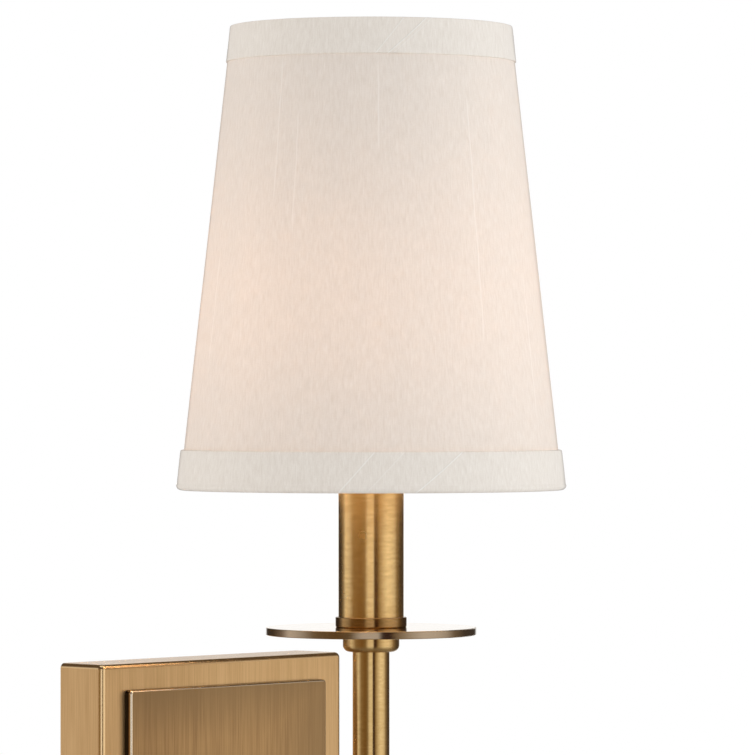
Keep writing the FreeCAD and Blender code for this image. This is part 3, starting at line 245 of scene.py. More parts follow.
@dataclass(frozen=True)
class BrushedBrass:
    """Satin brass with fine brush marks under a clear lacquer. Lengths in metres.

    side_colour is worn by faces that run up and down. The darker colour towards the right and at both ends
    is a painted dark reflection; its reach says how far from the middle it lies. Past a given depth a recess
    is painted
    nearly black: painted shade. Rounded edges take a lighter colour: a painted highlight.
    """

    name: str
    grain: Grain
    colour: Colour = (0.76, 0.535, 0.24)
    dark_colour: Colour = (0.63, 0.42, 0.165)
    roughness: float = 0.26
    flat_roughness: float = 0.26
    anisotropy: float = 1.0
    mark_pitch: float = 0.85 * MM
    mark_contrast: float = 0.4
    streak_contrast: float = 0.1
    lacquer: float = 0.2
    lacquer_roughness: float = 0.12
    side_colour: Colour | None = None
    dark_reflection_reach: Point | None = None
    dark_reflection_colour: Colour = (0.31, 0.2, 0.095)
    painted_shade_from: float | None = None
    edge_highlight_colour: Colour = (0.95, 0.74, 0.46)
    edge_roughness: float = 0.17

    # How fast the pattern runs along the marks: for each metre of an upright one, and round a ring.
    MARKS_UPWARDS = 38.0
    MARKS_ROUND = 2.3

    # How fast the broad streaks run beside the marks, across and along them.
    STREAK_SHARE = 0.11
    STREAK_LENGTH_SHARE = 0.4

    # A little off upright, so that level faces have a direction too.
    NEARLY_UPRIGHT = (0.05, 0.0, 1.0)

    def material(self) -> bpy.types.Material:
        """Builds the finish.

        Returns:
            A material whose marks and highlights follow the grain.
        """
        shader = Shader.named(self.name)
        place = shader.place()
        normal = shader.node("NewGeometry").outputs["Normal"]
        fine_place, broad_place, along = self.marks(shader, place, normal)
        clouds = shader.noise(place, 22.0, 3.0, 0.55)
        streaks = shader.noise(broad_place)
        level = shader.math("ABSOLUTE", shader.parts_of(normal)[2])
        flat = shader.span(level, 0.93, 0.985, self.roughness, self.flat_roughness)
        rough = shader.times(flat, shader.spread(streaks, 0.94, 1.06))
        colour = self.brushed(shader, shader.noise(fine_place, roughness=0.6), streaks, clouds)
        if self.side_colour is not None:
            colour = shader.blended(shader.span(level, 0.25, 0.75, 1.0, 0.0), colour, self.side_colour)
        # Painted reflection: the colour darkens towards the right edge and both ends.
        if self.dark_reflection_reach is not None:
            colour = self.darkened_by_reflection(shader, place, clouds, colour)
        # Rounded edges of upright-grained pieces: less rough, and a lighter colour that is a painted
        # highlight.
        if self.grain is Grain.UPRIGHT:
            edge = self.edges(shader, normal)
            colour = shader.blended(edge, colour, self.edge_highlight_colour)
            polish = shader.times(edge, self.edge_roughness - self.roughness)
            rough = shader.plus(rough, polish)
        # Painted shade: faces deeper than the given depth, such as the panel's sides in its recess, are
        # painted nearly black.
        if self.painted_shade_from is not None:
            depth = shader.parts_of(place)[1]
            near = shader.span(depth, self.painted_shade_from, self.painted_shade_from + 0.5 * MM, 0.0, 1.0)
            colour = shader.blended(near, colour, scaled(self.dark_colour, 0.05))
        across = shader.vector("CROSS_PRODUCT", along, normal).outputs[0]
        return shader.done(
            shader.principled(
                {
                    "Base Color": colour,
                    "Metallic": 1.0,
                    "Roughness": rough,
                    "Anisotropic": self.anisotropy,
                    "Tangent": shader.vector("NORMALIZE", across).outputs[0],
                    "Coat Weight": self.lacquer,
                    "Coat Roughness": self.lacquer_roughness,
                    "Coat IOR": 1.5,
                }
            )
        )

    def brushed(self, shader: Shader, marks: Socket, streaks: Socket, clouds: Socket) -> Socket:
        """The metal's colour under its marks, its broad streaks and its cloudy lacquer.

        Args:
            shader: The tree that the nodes go into.
            marks: The fine pattern's value.
            streaks: The broad streaks' value.
            clouds: The lacquer's cloudy value.

        Returns:
            A colour between the light and the dark one.
        """
        tone = shader.plus(
            shader.spread(marks, -self.mark_contrast, self.mark_contrast), shader.spread(clouds, 0.2, 0.6)
        )
        tone = shader.plus(tone, shader.spread(streaks, -self.streak_contrast, self.streak_contrast))
        return shader.blended(tone, self.colour, self.dark_colour)

    def darkened_by_reflection(self, shader: Shader, place: Socket, clouds: Socket, colour: Socket) -> Socket:
        """Darkens the colour towards the right edge and both ends: a painted dark reflection.

        Args:
            shader: The tree that the nodes go into.
            place: The point in the piece's frame.
            clouds: The lacquer's cloudy value.
            colour: The metal's colour before the painted darkening.

        Returns:
            The darkened colour.
        """
        sideways, _, height = shader.parts_of(place)
        across, along = self.dark_reflection_reach
        beside = shader.span(sideways, 0.35 * across, across, 0.0, 0.8)
        above = shader.span(shader.math("ABSOLUTE", height), 0.8 * along, along, 0.0, 0.85)
        dark_reflection = shader.times(shader.math("MAXIMUM", beside, above), shader.spread(clouds, 0.8, 1.0))
        return shader.blended(dark_reflection, colour, self.dark_reflection_colour)

    def edges(self, shader: Shader, normal: Socket) -> Socket:
        """Finds the rounded edges by their slanted normals.

        Args:
            shader: The tree that the nodes go into.
            normal: The surface's normal.

        Returns:
            1 where an edge turns between faces, and 0 on the faces.
        """
        x, y, z = (shader.math("ABSOLUTE", part) for part in shader.parts_of(normal))
        flatness = shader.math("MAXIMUM", shader.math("MAXIMUM", x, y), z)
        return shader.span(flatness, 0.95, 0.992, 1.0, 0.0)

    def marks(self, shader: Shader, place: Socket, normal: Socket) -> tuple[Socket, Socket, Socket]:
        """Where the marks' pattern is read, and the direction that they run in.

        Args:
            shader: The tree that the nodes go into.
            place: The point in the piece's frame.
            normal: The surface's normal.

        Returns:
            The fine pattern's point, the broad streaks' point and the marks' direction.
        """
        fine = 1.0 / self.mark_pitch
        share = self.STREAK_SHARE
        length = self.STREAK_LENGTH_SHARE
        if self.grain is Grain.UPRIGHT:
            point = shader.stretched(place, (fine, fine, self.MARKS_UPWARDS))
            broad = shader.stretched(point, (share, share, length))
            return point, broad, shader.joined(*self.NEARLY_UPRIGHT)
        upright = self.grain is Grain.ROUND_STEM
        axis = (0.0, 0.0, 1.0) if upright else (0.0, 1.0, 0.0)
        local = shader.vector("SUBTRACT", place, tuple(STEM_AXIS) if upright else (0.0, 0.0, 0.0)).outputs[0]
        x, y, z = shader.parts_of(local)
        across, height = (y, z) if upright else (z, y)
        squares = [shader.times(part, part) for part in (x, across)]
        away = shader.math("SQRT", shader.plus(*squares))
        facing_end = shader.math("ABSOLUTE", shader.vector("DOT_PRODUCT", normal, axis).outputs["Value"])
        ring = shader.plus(height, shader.times(away, facing_end))
        turn = [shader.times(shader.math("DIVIDE", part, away), self.MARKS_ROUND) for part in (x, across)]
        point = shader.joined(shader.times(ring, fine), *turn)
        broad = shader.stretched(point, (share, length, length))
        return point, broad, shader.vector("CROSS_PRODUCT", axis, local).outputs[0]


@dataclass(frozen=True)
class PlainMetal:
    """Plated or bare metal with faint wear. A thread is drawn where thread_pitch, in metres, is above 0."""

    name: str
    colour: Colour
    roughness: float = 0.35
    worn_colour: Colour | None = None
    thread_pitch: float = 0.0
    thread_depth: float = 0.0

    def material(self) -> bpy.types.Material:
        """Builds the finish.

        Returns:
            A material with cloudy wear, and a thread's turns where a pitch is given, with painted shade in
            their grooves.
        """
        shader = Shader.named(self.name)
        place = shader.place()
        clouds = shader.noise(place, 160.0, 4.0, 0.6)
        other = self.worn_colour or scaled(self.colour, 0.72)
        colour = shader.blended(shader.span(clouds, PATCHY_LOW, NOISE_HIGH, 0.0, 0.75), self.colour, other)
        normal = shader.bump(shader.noise(place, 1900.0), 0.01 * MM)
        if self.thread_pitch > 0.0:
            along = shader.math("DIVIDE", shader.parts_of(place)[1], self.thread_pitch)
            ridge = shader.times(shader.math("PINGPONG", along, 0.5), 2.0)
            normal = shader.bump(ridge, self.thread_depth, normal)
            # Painted shade: the thread's grooves are darker.
            colour = shader.blended(ridge, scaled(self.colour, 0.45), colour)
        rough = shader.spread(clouds, self.roughness * 0.8, self.roughness * 1.3)
        return shader.done(
            shader.principled({"Base Color": colour, "Metallic": 1.0, "Roughness": rough, "Normal": normal})
        )


@dataclass(frozen=True)
class Moulded:
    """Plastic, enamel, phenolic or insulation: coloured, with a fine skin.

    skin_depth is in metres, and skin_scale is how many grains go to a metre.
    """

    name: str
    colour: Colour
    roughness: float = 0.4
    skin_depth: float = 0.012 * MM
    skin_scale: float = 1400.0

    def material(self) -> bpy.types.Material:
        """Builds the finish.

        Returns:
            A material with a faintly uneven colour and skin.
        """
        shader = Shader.named(self.name)
        place = shader.place()
        clouds = shader.noise(place, 120.0, 3.0, 0.6)
        skin = shader.noise(place, self.skin_scale, 3.0, 0.6)
        patches = shader.span(clouds, PATCHY_LOW, NOISE_HIGH, 0.0, 0.7)
        return shader.done(
            shader.principled(
                {
                    "Base Color": shader.blended(patches, self.colour, scaled(self.colour, 0.82)),
                    "Roughness": shader.spread(clouds, self.roughness * 0.85, self.roughness * 1.2),
                    "Normal": shader.bump(skin, self.skin_depth),
                }
            )
        )


@dataclass(frozen=True)
class ClearGlass:
    """Clear glass that lets the bulb's light out."""

    name: str
    tint: Colour = (0.97, 0.98, 0.97)
    roughness: float = 0.0

    def material(self) -> bpy.types.Material:
        """Builds the finish.

        Returns:
            A material that bends light but casts almost no shadow.
        """
        shader = Shader.named(self.name)
        glass = shader.principled(
            {
                "Base Color": self.tint,
                "Roughness": self.roughness,
                "IOR": 1.5,
                "Transmission Weight": 1.0,
                "Normal": shader.bump(shader.noise(shader.place(), 90.0), 0.02 * MM),
            }
        )
        clear = shader.node("BsdfTransparent", {0: self.tint}).outputs[0]
        shadow = shader.node("LightPath").outputs["Is Shadow Ray"]
        return shader.done(shader.mixed(shadow, glass, clear))


@dataclass(frozen=True)
class Glowing:
    """A hot wire that gives light."""

    name: str
    colour: Colour
    strength: float

    def material(self) -> bpy.types.Material:
        """Builds the finish.

        Returns:
            A material that is brighter on some turns than on others.
        """
        shader = Shader.named(self.name)
        turns = shader.noise(shader.place(), 2600.0, 1.0)
        return shader.done(
            shader.principled(
                {
                    "Base Color": grey(0.25),
                    "Roughness": 0.5,
                    "Emission Color": self.colour,
                    "Emission Strength": shader.spread(turns, self.strength * 0.8, self.strength * 1.2),
                }
            )
        )


@dataclass(frozen=True)
class Slub:
    """A thick thread that shows in the cloth.

    angle is degrees round the shade. foot and top are the heights of its ends, in millimetres. weight is how
    far it stands out, as a share of the weave's depth.
    """

    angle: float
    foot: float
    top: float
    weight: float


@dataclass(frozen=True)
class Join:
    """A slanted line where two ends of the tape are joined.

    foot and top are the heights of its ends, in millimetres, and the angles are degrees round the shade
    there. weight is how far its step stands out, as a share of the tape's join_depth.
    """

    foot_angle: float
    top_angle: float
    foot: float
    top: float
    weight: float


@dataclass(frozen=True)
class ShadeCloth:
    """Fine off-white cloth with an upright crepe weave, lit through by the bulb. Lengths in metres.

    passing is the share of light that goes through. The lighter colour along the raised edge of a join is a
    painted highlight.
    """

    name: str
    colour: Colour
    passing: float
    weave_pitch: float = 0.46 * MM
    weave_depth: float = 0.085 * MM
    join_depth: float = 0.12 * MM
    slubs: tuple[Slub, ...] = ()
    joins: tuple[Join, ...] = ()
    through_tint: Colour = (0.75, 0.68, 0.6)
    join_highlight_colour: Colour = (1.0, 0.98, 0.94)

    # How much red, green and blue the hollows between the threads keep: painted shade in the weave.
    HOLLOW_SHADE_FACTORS = (0.86, 0.835, 0.81)

    # How many millimetres a slub takes to fade at either end.
    SLUB_TAPER = 12.0

    def material(self) -> bpy.types.Material:
        """Builds the finish.

        Returns:
            A material that reads the cloth's own lengths, in metres, from its UV map.
        """
        shader = Shader.named(self.name)
        flat = shader.node("UVMap", uv_map="Cloth").outputs[0]
        weave = self.weave(shader, flat)
        # The weave pattern, with painted shade: its hollows take a darker colour.
        darker = tuple(part * factor for part, factor in zip(self.colour, self.HOLLOW_SHADE_FACTORS))
        colour = shader.blended(shader.span(weave, 0.45, 0.9, 0.0, 1.0), darker, self.colour)
        # Painted shade: the cloth is darkened where it turns away towards its outline.
        turned_away = shader.node("LayerWeight", {"Blend": 0.5}).outputs["Facing"]
        painted_edge_shade = shader.span(turned_away, 0.84, 0.95, 0.0, 0.8)
        colour = shader.blended(painted_edge_shade, colour, scaled(self.colour, 0.5))
        normal = shader.bump(weave, self.weave_depth)
        # Each join: a bumped step, and a painted highlight along its raised edge.
        for join in self.joins:
            step, crease = self.join_step(shader, flat, join)
            normal = shader.bump(step, self.join_depth, normal)
            colour = shader.blended(crease, colour, self.join_highlight_colour)
        front = shader.principled(
            {
                "Base Color": colour,
                "Roughness": 0.85,
                "Specular IOR Level": 0.25,
                "Sheen Weight": 0.12,
                "Sheen Roughness": 0.45,
                "Normal": normal,
            }
        )
        through = shader.node("BsdfTranslucent", {"Color": self.through_tint, "Normal": normal}).outputs[0]
        cloth = shader.mixed(self.passing, front, through)
        clear = shader.node("BsdfTransparent", {0: self.through_tint}).outputs[0]
        shadow = shader.node("LightPath").outputs["Is Shadow Ray"]
        return shader.done(shader.mixed(shadow, cloth, clear))

    def weave(self, shader: Shader, flat: Socket) -> Socket:
        """How far the threads stand out.

        Args:
            shader: The tree that the nodes go into.
            flat: The point on the flat cloth.

        Returns:
            The upright and the level threads, the crepe's grain and the slubs, added up.
        """
        fine = 1.0 / self.weave_pitch
        warp = shader.noise(shader.stretched(flat, (fine, fine * 0.11, 0.0)), detail=2.5, roughness=0.6)
        weft = shader.noise(shader.stretched(flat, (fine * 0.3, fine * 1.3, 0.0)))
        crepe = shader.noise(shader.stretched(flat, (900.0, 210.0, 0.0)), detail=3.0, roughness=0.6)
        height = shader.plus(shader.times(warp, 0.6), shader.times(weft, 0.22))
        height = shader.plus(height, shader.times(crepe, 0.5))
        for slub in self.slubs:
            height = shader.plus(height, self.slub_height(shader, flat, slub))
        return height

    def slub_height(self, shader: Shader, flat: Socket, slub: Slub) -> Socket:
        """How far one thick thread stands out.

        Args:
            shader: The tree that the nodes go into.
            flat: The point on the flat cloth.
            slub: The thread.

        Returns:
            Its height, which fades towards both of its ends.
        """
        across, up, _ = shader.parts_of(flat)
        drift = shader.noise(shader.stretched(flat, (0.0, 60.0, 0.0)), detail=1.0)
        wander = shader.span(drift, 0.0, 1.0, -0.5 * MM, 0.5 * MM)
        middle = shader.plus(wander, slub.angle * ShadeForm.DEGREE)
        off = shader.math("ABSOLUTE", shader.minus(across, middle))
        ridge = shader.span(off, 0.0, 0.35 * MM, slub.weight, 0.0)
        begin = shader.span(up, slub.foot * MM, (slub.foot + self.SLUB_TAPER) * MM, 0.0, 1.0)
        end = shader.span(up, (slub.top - self.SLUB_TAPER) * MM, slub.top * MM, 1.0, 0.0)
        return shader.times(ridge, shader.times(begin, end))

    def join_step(self, shader: Shader, flat: Socket, join: Join) -> tuple[Socket, Socket]:
        """How far the upper end of a join stands out, and how much its edge shines.

        Args:
            shader: The tree that the nodes go into.
            flat: The point on the flat tape.
            join: The join.

        Returns:
            The step's height and the edge's share of light, both from 0 to 1.
        """
        across, up, _ = shader.parts_of(flat)
        foot, top = join.foot * MM, join.top * MM
        middle = shader.span(
            up, foot, top, join.foot_angle * ShadeForm.DEGREE, join.top_angle * ShadeForm.DEGREE
        )
        off = shader.minus(across, middle)
        rise = shader.span(off, -0.3 * MM, 0.3 * MM, 0.0, 1.0)
        fall = shader.span(off, 0.5 * MM, 4.5 * MM, 1.0, 0.0)
        above_foot = shader.span(up, foot, (join.foot + 0.1) * MM, 0.0, 1.0)
        below_top = shader.span(up, (join.top - 0.1) * MM, top, 1.0, 0.0)
        inside = shader.times(shader.times(above_foot, below_top), join.weight)
        step = shader.times(shader.times(rise, fall), inside)
        from_edge = shader.math("ABSOLUTE", shader.minus(off, 0.2 * MM))
        near = shader.span(from_edge, 0.0, 0.35 * MM, 0.8, 0.0)
        return step, shader.times(near, inside)


class ShadeForm:
    """The cone that the cloth, the lining and the bindings share. Sizes in millimetres.

    RISE is its foot's height. DEGREE is the metres of flat cloth in a degree round the stem.
    """

    RISE = 46.5
    HEIGHT = 157.0
    TOP_DIAMETER = 94.8
    BOTTOM_DIAMETER = 129.8
    MIDDLE_RADIUS = (TOP_DIAMETER + BOTTOM_DIAMETER) / 4.0
    DEGREE = math.radians(1.0) * MIDDLE_RADIUS * MM

    @classmethod
    def radius(cls, height: float) -> float:
        """The cloth's outer radius at a height."""
        share = (height - cls.RISE) / cls.HEIGHT
        return (cls.BOTTOM_DIAMETER + (cls.TOP_DIAMETER - cls.BOTTOM_DIAMETER) * share) / 2.0


# Meshes
@dataclass(frozen=True)
class Axis:
    """A line that pieces are turned about: a point on it, its direction, and the direction of angle 0."""

    centre: Vector
    along: Vector
    first: Vector

    def points(self, radius: np.ndarray, height: np.ndarray, angle: np.ndarray) -> np.ndarray:
        """Points round the axis, from arrays of one shape.

        Args:
            radius: Distances from the axis.
            height: Places along it.
            angle: Turns from its first direction.

        Returns:
            The points, with their three parts in the last dimension.
        """
        second = self.along.cross(self.first)
        out = np.multiply.outer(radius * np.cos(angle), np.array(self.first))
        out += np.multiply.outer(radius * np.sin(angle), np.array(second))
        out += np.multiply.outer(height, np.array(self.along))
        return out + np.array(self.centre)


STEM = Axis(STEM_AXIS, Vector((0.0, 0.0, 1.0)), Vector((math.cos(FACING), math.sin(FACING), 0.0)))

# Points closer than this are one point.
SAME_PLACE = 1e-7

# A direction that no wire starts along.
ASKEW = (0.31, 0.87, 0.39)


def new_piece(name: str, points: np.ndarray, faces: Sequence[Sequence[int]]) -> bpy.types.Object:
    """Makes a mesh object of points and faces.

    Args:
        name: The piece's name.
        points: One row for each point.
        faces: Point numbers of each face.

    Returns:
        The object, linked into the scene.
    """
    mesh = bpy.data.meshes.new(name)
    mesh.from_pydata([tuple(point) for point in points.reshape(-1, 3)], [], faces)
    mesh.update()
    piece = bpy.data.objects.new(name, mesh)
    bpy.context.scene.collection.objects.link(piece)
    return piece


def smoothed(piece: bpy.types.Object, crease: float = 35.0) -> bpy.types.Object:
    """Gives a piece smooth shading.

    Args:
        piece: The piece.
        crease: Edges sharper than this many degrees stay sharp.

    Returns:
        The same piece.
    """
    mesh = piece.data
    mesh.polygons.foreach_set("use_smooth", [True] * len(mesh.polygons))
    mesh.set_sharp_from_angle(angle=math.radians(crease))
    return piece


def grid_faces(
    rows: int, columns: int, round_rows: bool, round_columns: bool
) -> list[tuple[int, int, int, int]]:
    """Four-sided faces of a grid of points, row by row.

    Args:
        rows: How many rows of points there are.
        columns: How many points a row has.
        round_rows: The last row joins the first.
        round_columns: Each row's last point joins its first.

    Returns:
        Point numbers of each face.
    """
    faces = []
    for row in range(rows if round_rows else rows - 1):
        here = row * columns
        there = (row + 1) % rows * columns
        for column in range(columns if round_columns else columns - 1):
            beside = (column + 1) % columns
            faces.append((here + column, here + beside, there + beside, there + column))
    return faces


def turned(
    name: str,
    axis: Axis,
    profile: Sequence[Point],
    segments: int = 96,
    shift: Callable[[np.ndarray, np.ndarray, np.ndarray], np.ndarray] | None = None,
    crease: float = 35.0,
) -> bpy.types.Object:
    """A piece turned about an axis from a closed section.

    Args:
        name: The piece's name.
        axis: The line that it is turned about.
        profile: (radius, height) in millimetres, once round the section.
        segments: How many steps the turn has.
        shift: Gives millimetres to add to the radius, from arrays of radius, height and angle.
        crease: Edges sharper than this many degrees stay sharp.

    Returns:
        The closed mesh.
    """
    section = np.array(profile, float)
    angle = np.linspace(0.0, 2.0 * math.pi, segments, endpoint=False)
    radius, turn = np.meshgrid(section[:, 0], angle, indexing="ij")
    height, _ = np.meshgrid(section[:, 1], angle, indexing="ij")
    if shift is not None:
        radius = radius + shift(radius, height, turn)
    points = axis.points(radius * MM, height * MM, turn)
    piece = new_piece(name, points, grid_faces(len(section), segments, True, True))
    tidy_poles(piece)
    return smoothed(piece, crease)


def tidy_poles(piece: bpy.types.Object) -> None:
    """Merges the points that a section on the axis puts in one place, and turns all faces outwards.

    Args:
        piece: The piece, whose mesh is changed.
    """
    made = bmesh.new()
    made.from_mesh(piece.data)
    bmesh.ops.remove_doubles(made, verts=made.verts, dist=SAME_PLACE)
    bmesh.ops.dissolve_degenerate(made, edges=made.edges, dist=SAME_PLACE)
    bmesh.ops.recalc_face_normals(made, faces=made.faces)
    made.to_mesh(piece.data)
    made.free()


def swept(name: str, path: np.ndarray, diameter: float, sides: int = 12) -> bpy.types.Object:
    """A round wire along a path of points in metres, with closed ends.

    Args:
        name: The piece's name.
        path: One row for each point.
        diameter: The wire's diameter in millimetres.
        sides: How many faces go round the wire.

    Returns:
        The closed mesh.
    """
    steps = np.gradient(path, axis=0)
    steps /= np.linalg.norm(steps, axis=1)[:, None]
    side = np.cross(steps[0], ASKEW)
    rows = []
    for point, step in zip(path, steps):
        side = side - step * (side @ step)
        side /= np.linalg.norm(side)
        other = np.cross(step, side)
        turn = np.linspace(0.0, 2.0 * math.pi, sides, endpoint=False)[:, None]
        rows.append(point + diameter / 2.0 * MM * (np.cos(turn) * side + np.sin(turn) * other))
    faces: list[tuple[int, ...]] = list(grid_faces(len(path), sides, False, True))
    faces.append(tuple(range(sides))[::-1])
    faces.append(tuple(range((len(path) - 1) * sides, len(path) * sides)))
    piece = new_piece(name, np.array(rows), faces)
    return smoothed(piece, 50.0)


def dress(nodes: Iterable[str], material: bpy.types.Material) -> None:
    """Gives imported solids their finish.

    Args:
        nodes: The solids' names.
        material: The finish.
    """
    for node in nodes:
        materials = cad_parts[node].data.materials
        materials.clear()
        materials.append(material)
        LOG.info("%s dressed in %s", node, material.name)


def stand_for(
    piece: bpy.types.Object, body: str, material: bpy.types.Material, nodes: Iterable[str] = ()
) -> bpy.types.Object:
    """Gives a new piece its finish and its body, and hides the solids that it stands for.

    Args:
        piece: The new piece.
        body: The body that it moves with.
        material: The finish.
        nodes: The solids that it stands for.

    Returns:
        The same piece.
    """
    piece.data.materials.clear()
    piece.data.materials.append(material)
    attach(piece, body)
    names = list(nodes)
    if names:
        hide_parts(*names)
    LOG.info("%s rides on %s, %d points", piece.name, body, len(piece.data.vertices))
    return piece


# Sub-assemblies
@dataclass
class BrassWork:
    """The plate, the arm, the stem and the disc: turned and pressed brass that the solids already shape."""

    round_stem: BrushedBrass = BrushedBrass("brass_round_stem", Grain.ROUND_STEM)
    round_arm: BrushedBrass = BrushedBrass("brass_round_arm", Grain.ROUND_ARM)
    # The cup's brass is coloured much darker than the stem's: painted shade.
    cup_painted_dark_finish: BrushedBrass = BrushedBrass(
        "brass_cup_painted_dark", Grain.ROUND_STEM, colour=(0.4, 0.25, 0.1), dark_colour=(0.3, 0.175, 0.055), lacquer=0.25
    )
    frame_finish: BrushedBrass = BrushedBrass(
        "brass_plate",
        Grain.UPRIGHT,
        colour=(0.79, 0.525, 0.26),
        dark_colour=(0.65, 0.41, 0.185),
        roughness=0.32,
        flat_roughness=0.28,
        anisotropy=0.8,
        mark_pitch=0.4 * MM,
        mark_contrast=0.5,
        streak_contrast=0.14,
        edge_highlight_colour=(0.82, 0.6, 0.34),
    )
    # The panel's brass is coloured darker than the frame's: a painted dark reflection.
    panel_painted_dark_finish: BrushedBrass = BrushedBrass(
        "brass_panel_painted_dark",
        Grain.UPRIGHT,
        colour=(0.535, 0.33, 0.147),
        dark_colour=(0.41, 0.242, 0.106),
        roughness=0.3,
        anisotropy=0.85,
        mark_pitch=0.42 * MM,
        mark_contrast=0.75,
        streak_contrast=0.3,
        painted_shade_from=-22.2 * MM,
        dark_reflection_reach=(48.9 * MM, 92.4 * MM),
        edge_highlight_colour=(1.0, 0.9, 0.74),
        edge_roughness=0.12,
    )
    disc_finish: BrushedBrass = BrushedBrass(
        "brass_polished",
        Grain.ROUND_STEM,
        flat_roughness=0.04,
        mark_contrast=0.05,
        lacquer=0.6,
        side_colour=(0.4, 0.3, 0.2),
    )

    STEM_NODES = (
        "candle_tube",
        "neck_boss",
        "stem_tube",
        "hub_ball",
        "lower_stem_tube",
        "tail_collar",
        "tail_disc",
        "tail_finial",
    )
    ARM_NODES = (
        "arm_flange",
        "arm_tube",
        "upper_cap_nut",
        "upper_cap_washer",
        "lower_cap_nut",
        "lower_cap_washer",
    )

    def build(self) -> None:
        """Finishes each brass solid with the grain that its making leaves."""
        dress(self.STEM_NODES, self.round_stem.material())
        dress(self.ARM_NODES, self.round_arm.material())
        dress(["back_plate"], self.frame_finish.material())
        dress(["face_panel"], self.panel_painted_dark_finish.material())
        dress(["drip_disc"], self.disc_finish.material())
        dress(["candle_cup"], self.cup_painted_dark_finish.material())


ZINC: Colour = (0.62, 0.63, 0.64)


@dataclass
class HiddenFixings:
    """The steel strap, pipes, nuts and the wiring inside. Sizes in millimetres."""

    zinc: PlainMetal = PlainMetal("zinc_steel", ZINC, 0.36, (0.5, 0.49, 0.45))
    fine_thread: PlainMetal = PlainMetal("zinc_fine_thread", ZINC, 0.36, None, 0.794 * MM, 0.3 * MM)
    pipe_thread: PlainMetal = PlainMetal("zinc_pipe_thread", ZINC, 0.36, None, 0.94 * MM, 0.35 * MM)
    green: Moulded = Moulded("green_screw", (0.03, 0.22, 0.07), 0.35)
    black_wire: Moulded = Moulded("black_insulation", (0.02, 0.02, 0.022), 0.42)
    white_wire: Moulded = Moulded("white_insulation", (0.75, 0.74, 0.7), 0.42)
    green_wire: Moulded = Moulded("green_insulation", (0.03, 0.25, 0.08), 0.42)
    connector: Moulded = Moulded("wire_nut_plastic", (0.62, 0.2, 0.04), 0.45, 0.02 * MM)
    nut_mouth_height: float = -34.0
    nut_depth: float = 9.0
    nut_offset: float = 26.0
    nut_diameter: float = 12.6
    nut_length: float = 22.0
    nut_grip: float = 10.0
    wire_hole_radius: float = 0.9
    rib_count: int = 16
    rib_depth: float = 0.45
    steps_round: int = 128

    ZINC_NODES = (
        "mounting_strap",
        "stud_locknuts",
        "arm_lock_washer",
        "arm_hex_nut",
        "ground_terminal",
        "lower_pipe",
        "upper_pipe",
        "pipe_nut",
        "socket_bracket",
        "bracket_nut",
        "socket_screw",
    )

    def build(self) -> None:
        """Dresses the steel and the leads, and makes the ribbed connectors."""
        dress(self.ZINC_NODES, self.zinc.material())
        dress(["mounting_studs"], self.fine_thread.material())
        dress(["arm_nipple"], self.pipe_thread.material())
        dress(["ground_screw"], self.green.material())
        dress(["hot_lead"], self.black_wire.material())
        dress(["neutral_lead"], self.white_wire.material())
        dress(["ground_lead"], self.green_wire.material())
        self.connectors()

    def connectors(self) -> None:
        """The two twist-on connectors as one ribbed piece."""
        radius = self.nut_diameter / 2.0
        end = self.nut_length
        profile = [
            (self.wire_hole_radius, 0.0),
            (radius * 0.82, 0.0),
            (radius * 0.86, 0.4),
            (radius * 0.95, 2.6),
            (radius - self.rib_depth, 4.4),
            (radius - self.rib_depth - 0.1, 6.0),
            (radius * 0.9, 9.0),
            (radius * 0.83, 13.0),
            (radius * 0.76, 17.0),
            (radius * 0.7, end - 2.4),
            (radius * 0.62, end - 0.9),
            (radius * 0.45, end - 0.2),
            (0.0, end),
            (0.0, self.nut_grip),
            (self.wire_hole_radius, self.nut_grip),
        ]

        def ribs(r: np.ndarray, h: np.ndarray, turn: np.ndarray) -> np.ndarray:
            """Ribs on the lower grip, fading towards the mouth and the tip.

            Args:
                r: Distances from the axis.
                h: Heights.
                turn: Angles round the axis.

            Returns:
                What to add to the distances.
            """
            strength = np.clip((h - 3.0) / 2.0, 0.0, 1.0) * np.clip((end - 3.0 - h) / 3.0, 0.0, 1.0)
            outside = (r > radius * 0.6).astype(float)
            return -self.rib_depth * strength * outside * (0.5 + 0.5 * np.cos(turn * self.rib_count))

        made = []
        for side in (1.0, -1.0):
            centre = Vector((side * self.nut_offset, -self.nut_depth, self.nut_mouth_height)) * MM
            axis = Axis(centre, Vector((0.0, 0.0, -1.0)), Vector((1.0, 0.0, 0.0)))
            made.append(turned("wire_nut_part", axis, profile, segments=self.steps_round, shift=ribs))
        piece = merged("ribbed_wire_nuts", made)
        stand_for(piece, "root", self.connector.material(), ["wire_nuts"])


def merged(name: str, parts: Sequence[bpy.types.Object]) -> bpy.types.Object:
    """Makes one piece of several.

    Args:
        name: The new piece's name.
        parts: The pieces, which go.

    Returns:
        The new piece.
    """
    points = []
    faces = []
    for part in parts:
        start = len(points)
        points.extend(tuple(vertex.co) for vertex in part.data.vertices)
        faces.extend(tuple(start + index for index in face.vertices) for face in part.data.polygons)
        bpy.data.objects.remove(part)
    return smoothed(new_piece(name, np.array(points), faces))


@dataclass
class Lampholder:
    """The moulded holder, its contacts and the card sleeve."""

    phenolic: Moulded = Moulded("phenolic", (0.025, 0.018, 0.014), 0.3)
    plated: PlainMetal = PlainMetal("lamp_metal", (0.66, 0.5, 0.24), 0.3)
    card: Moulded = Moulded("card", (0.66, 0.5, 0.32), 0.8, 0.03 * MM, 700.0)

    def build(self) -> None:
        """Dresses the holder's solids."""
        dress(["socket_body"], self.phenolic.material())
        dress(["socket_shell", "socket_contact"], self.plated.material())
        dress(["insulating_sleeve"], self.card.material())


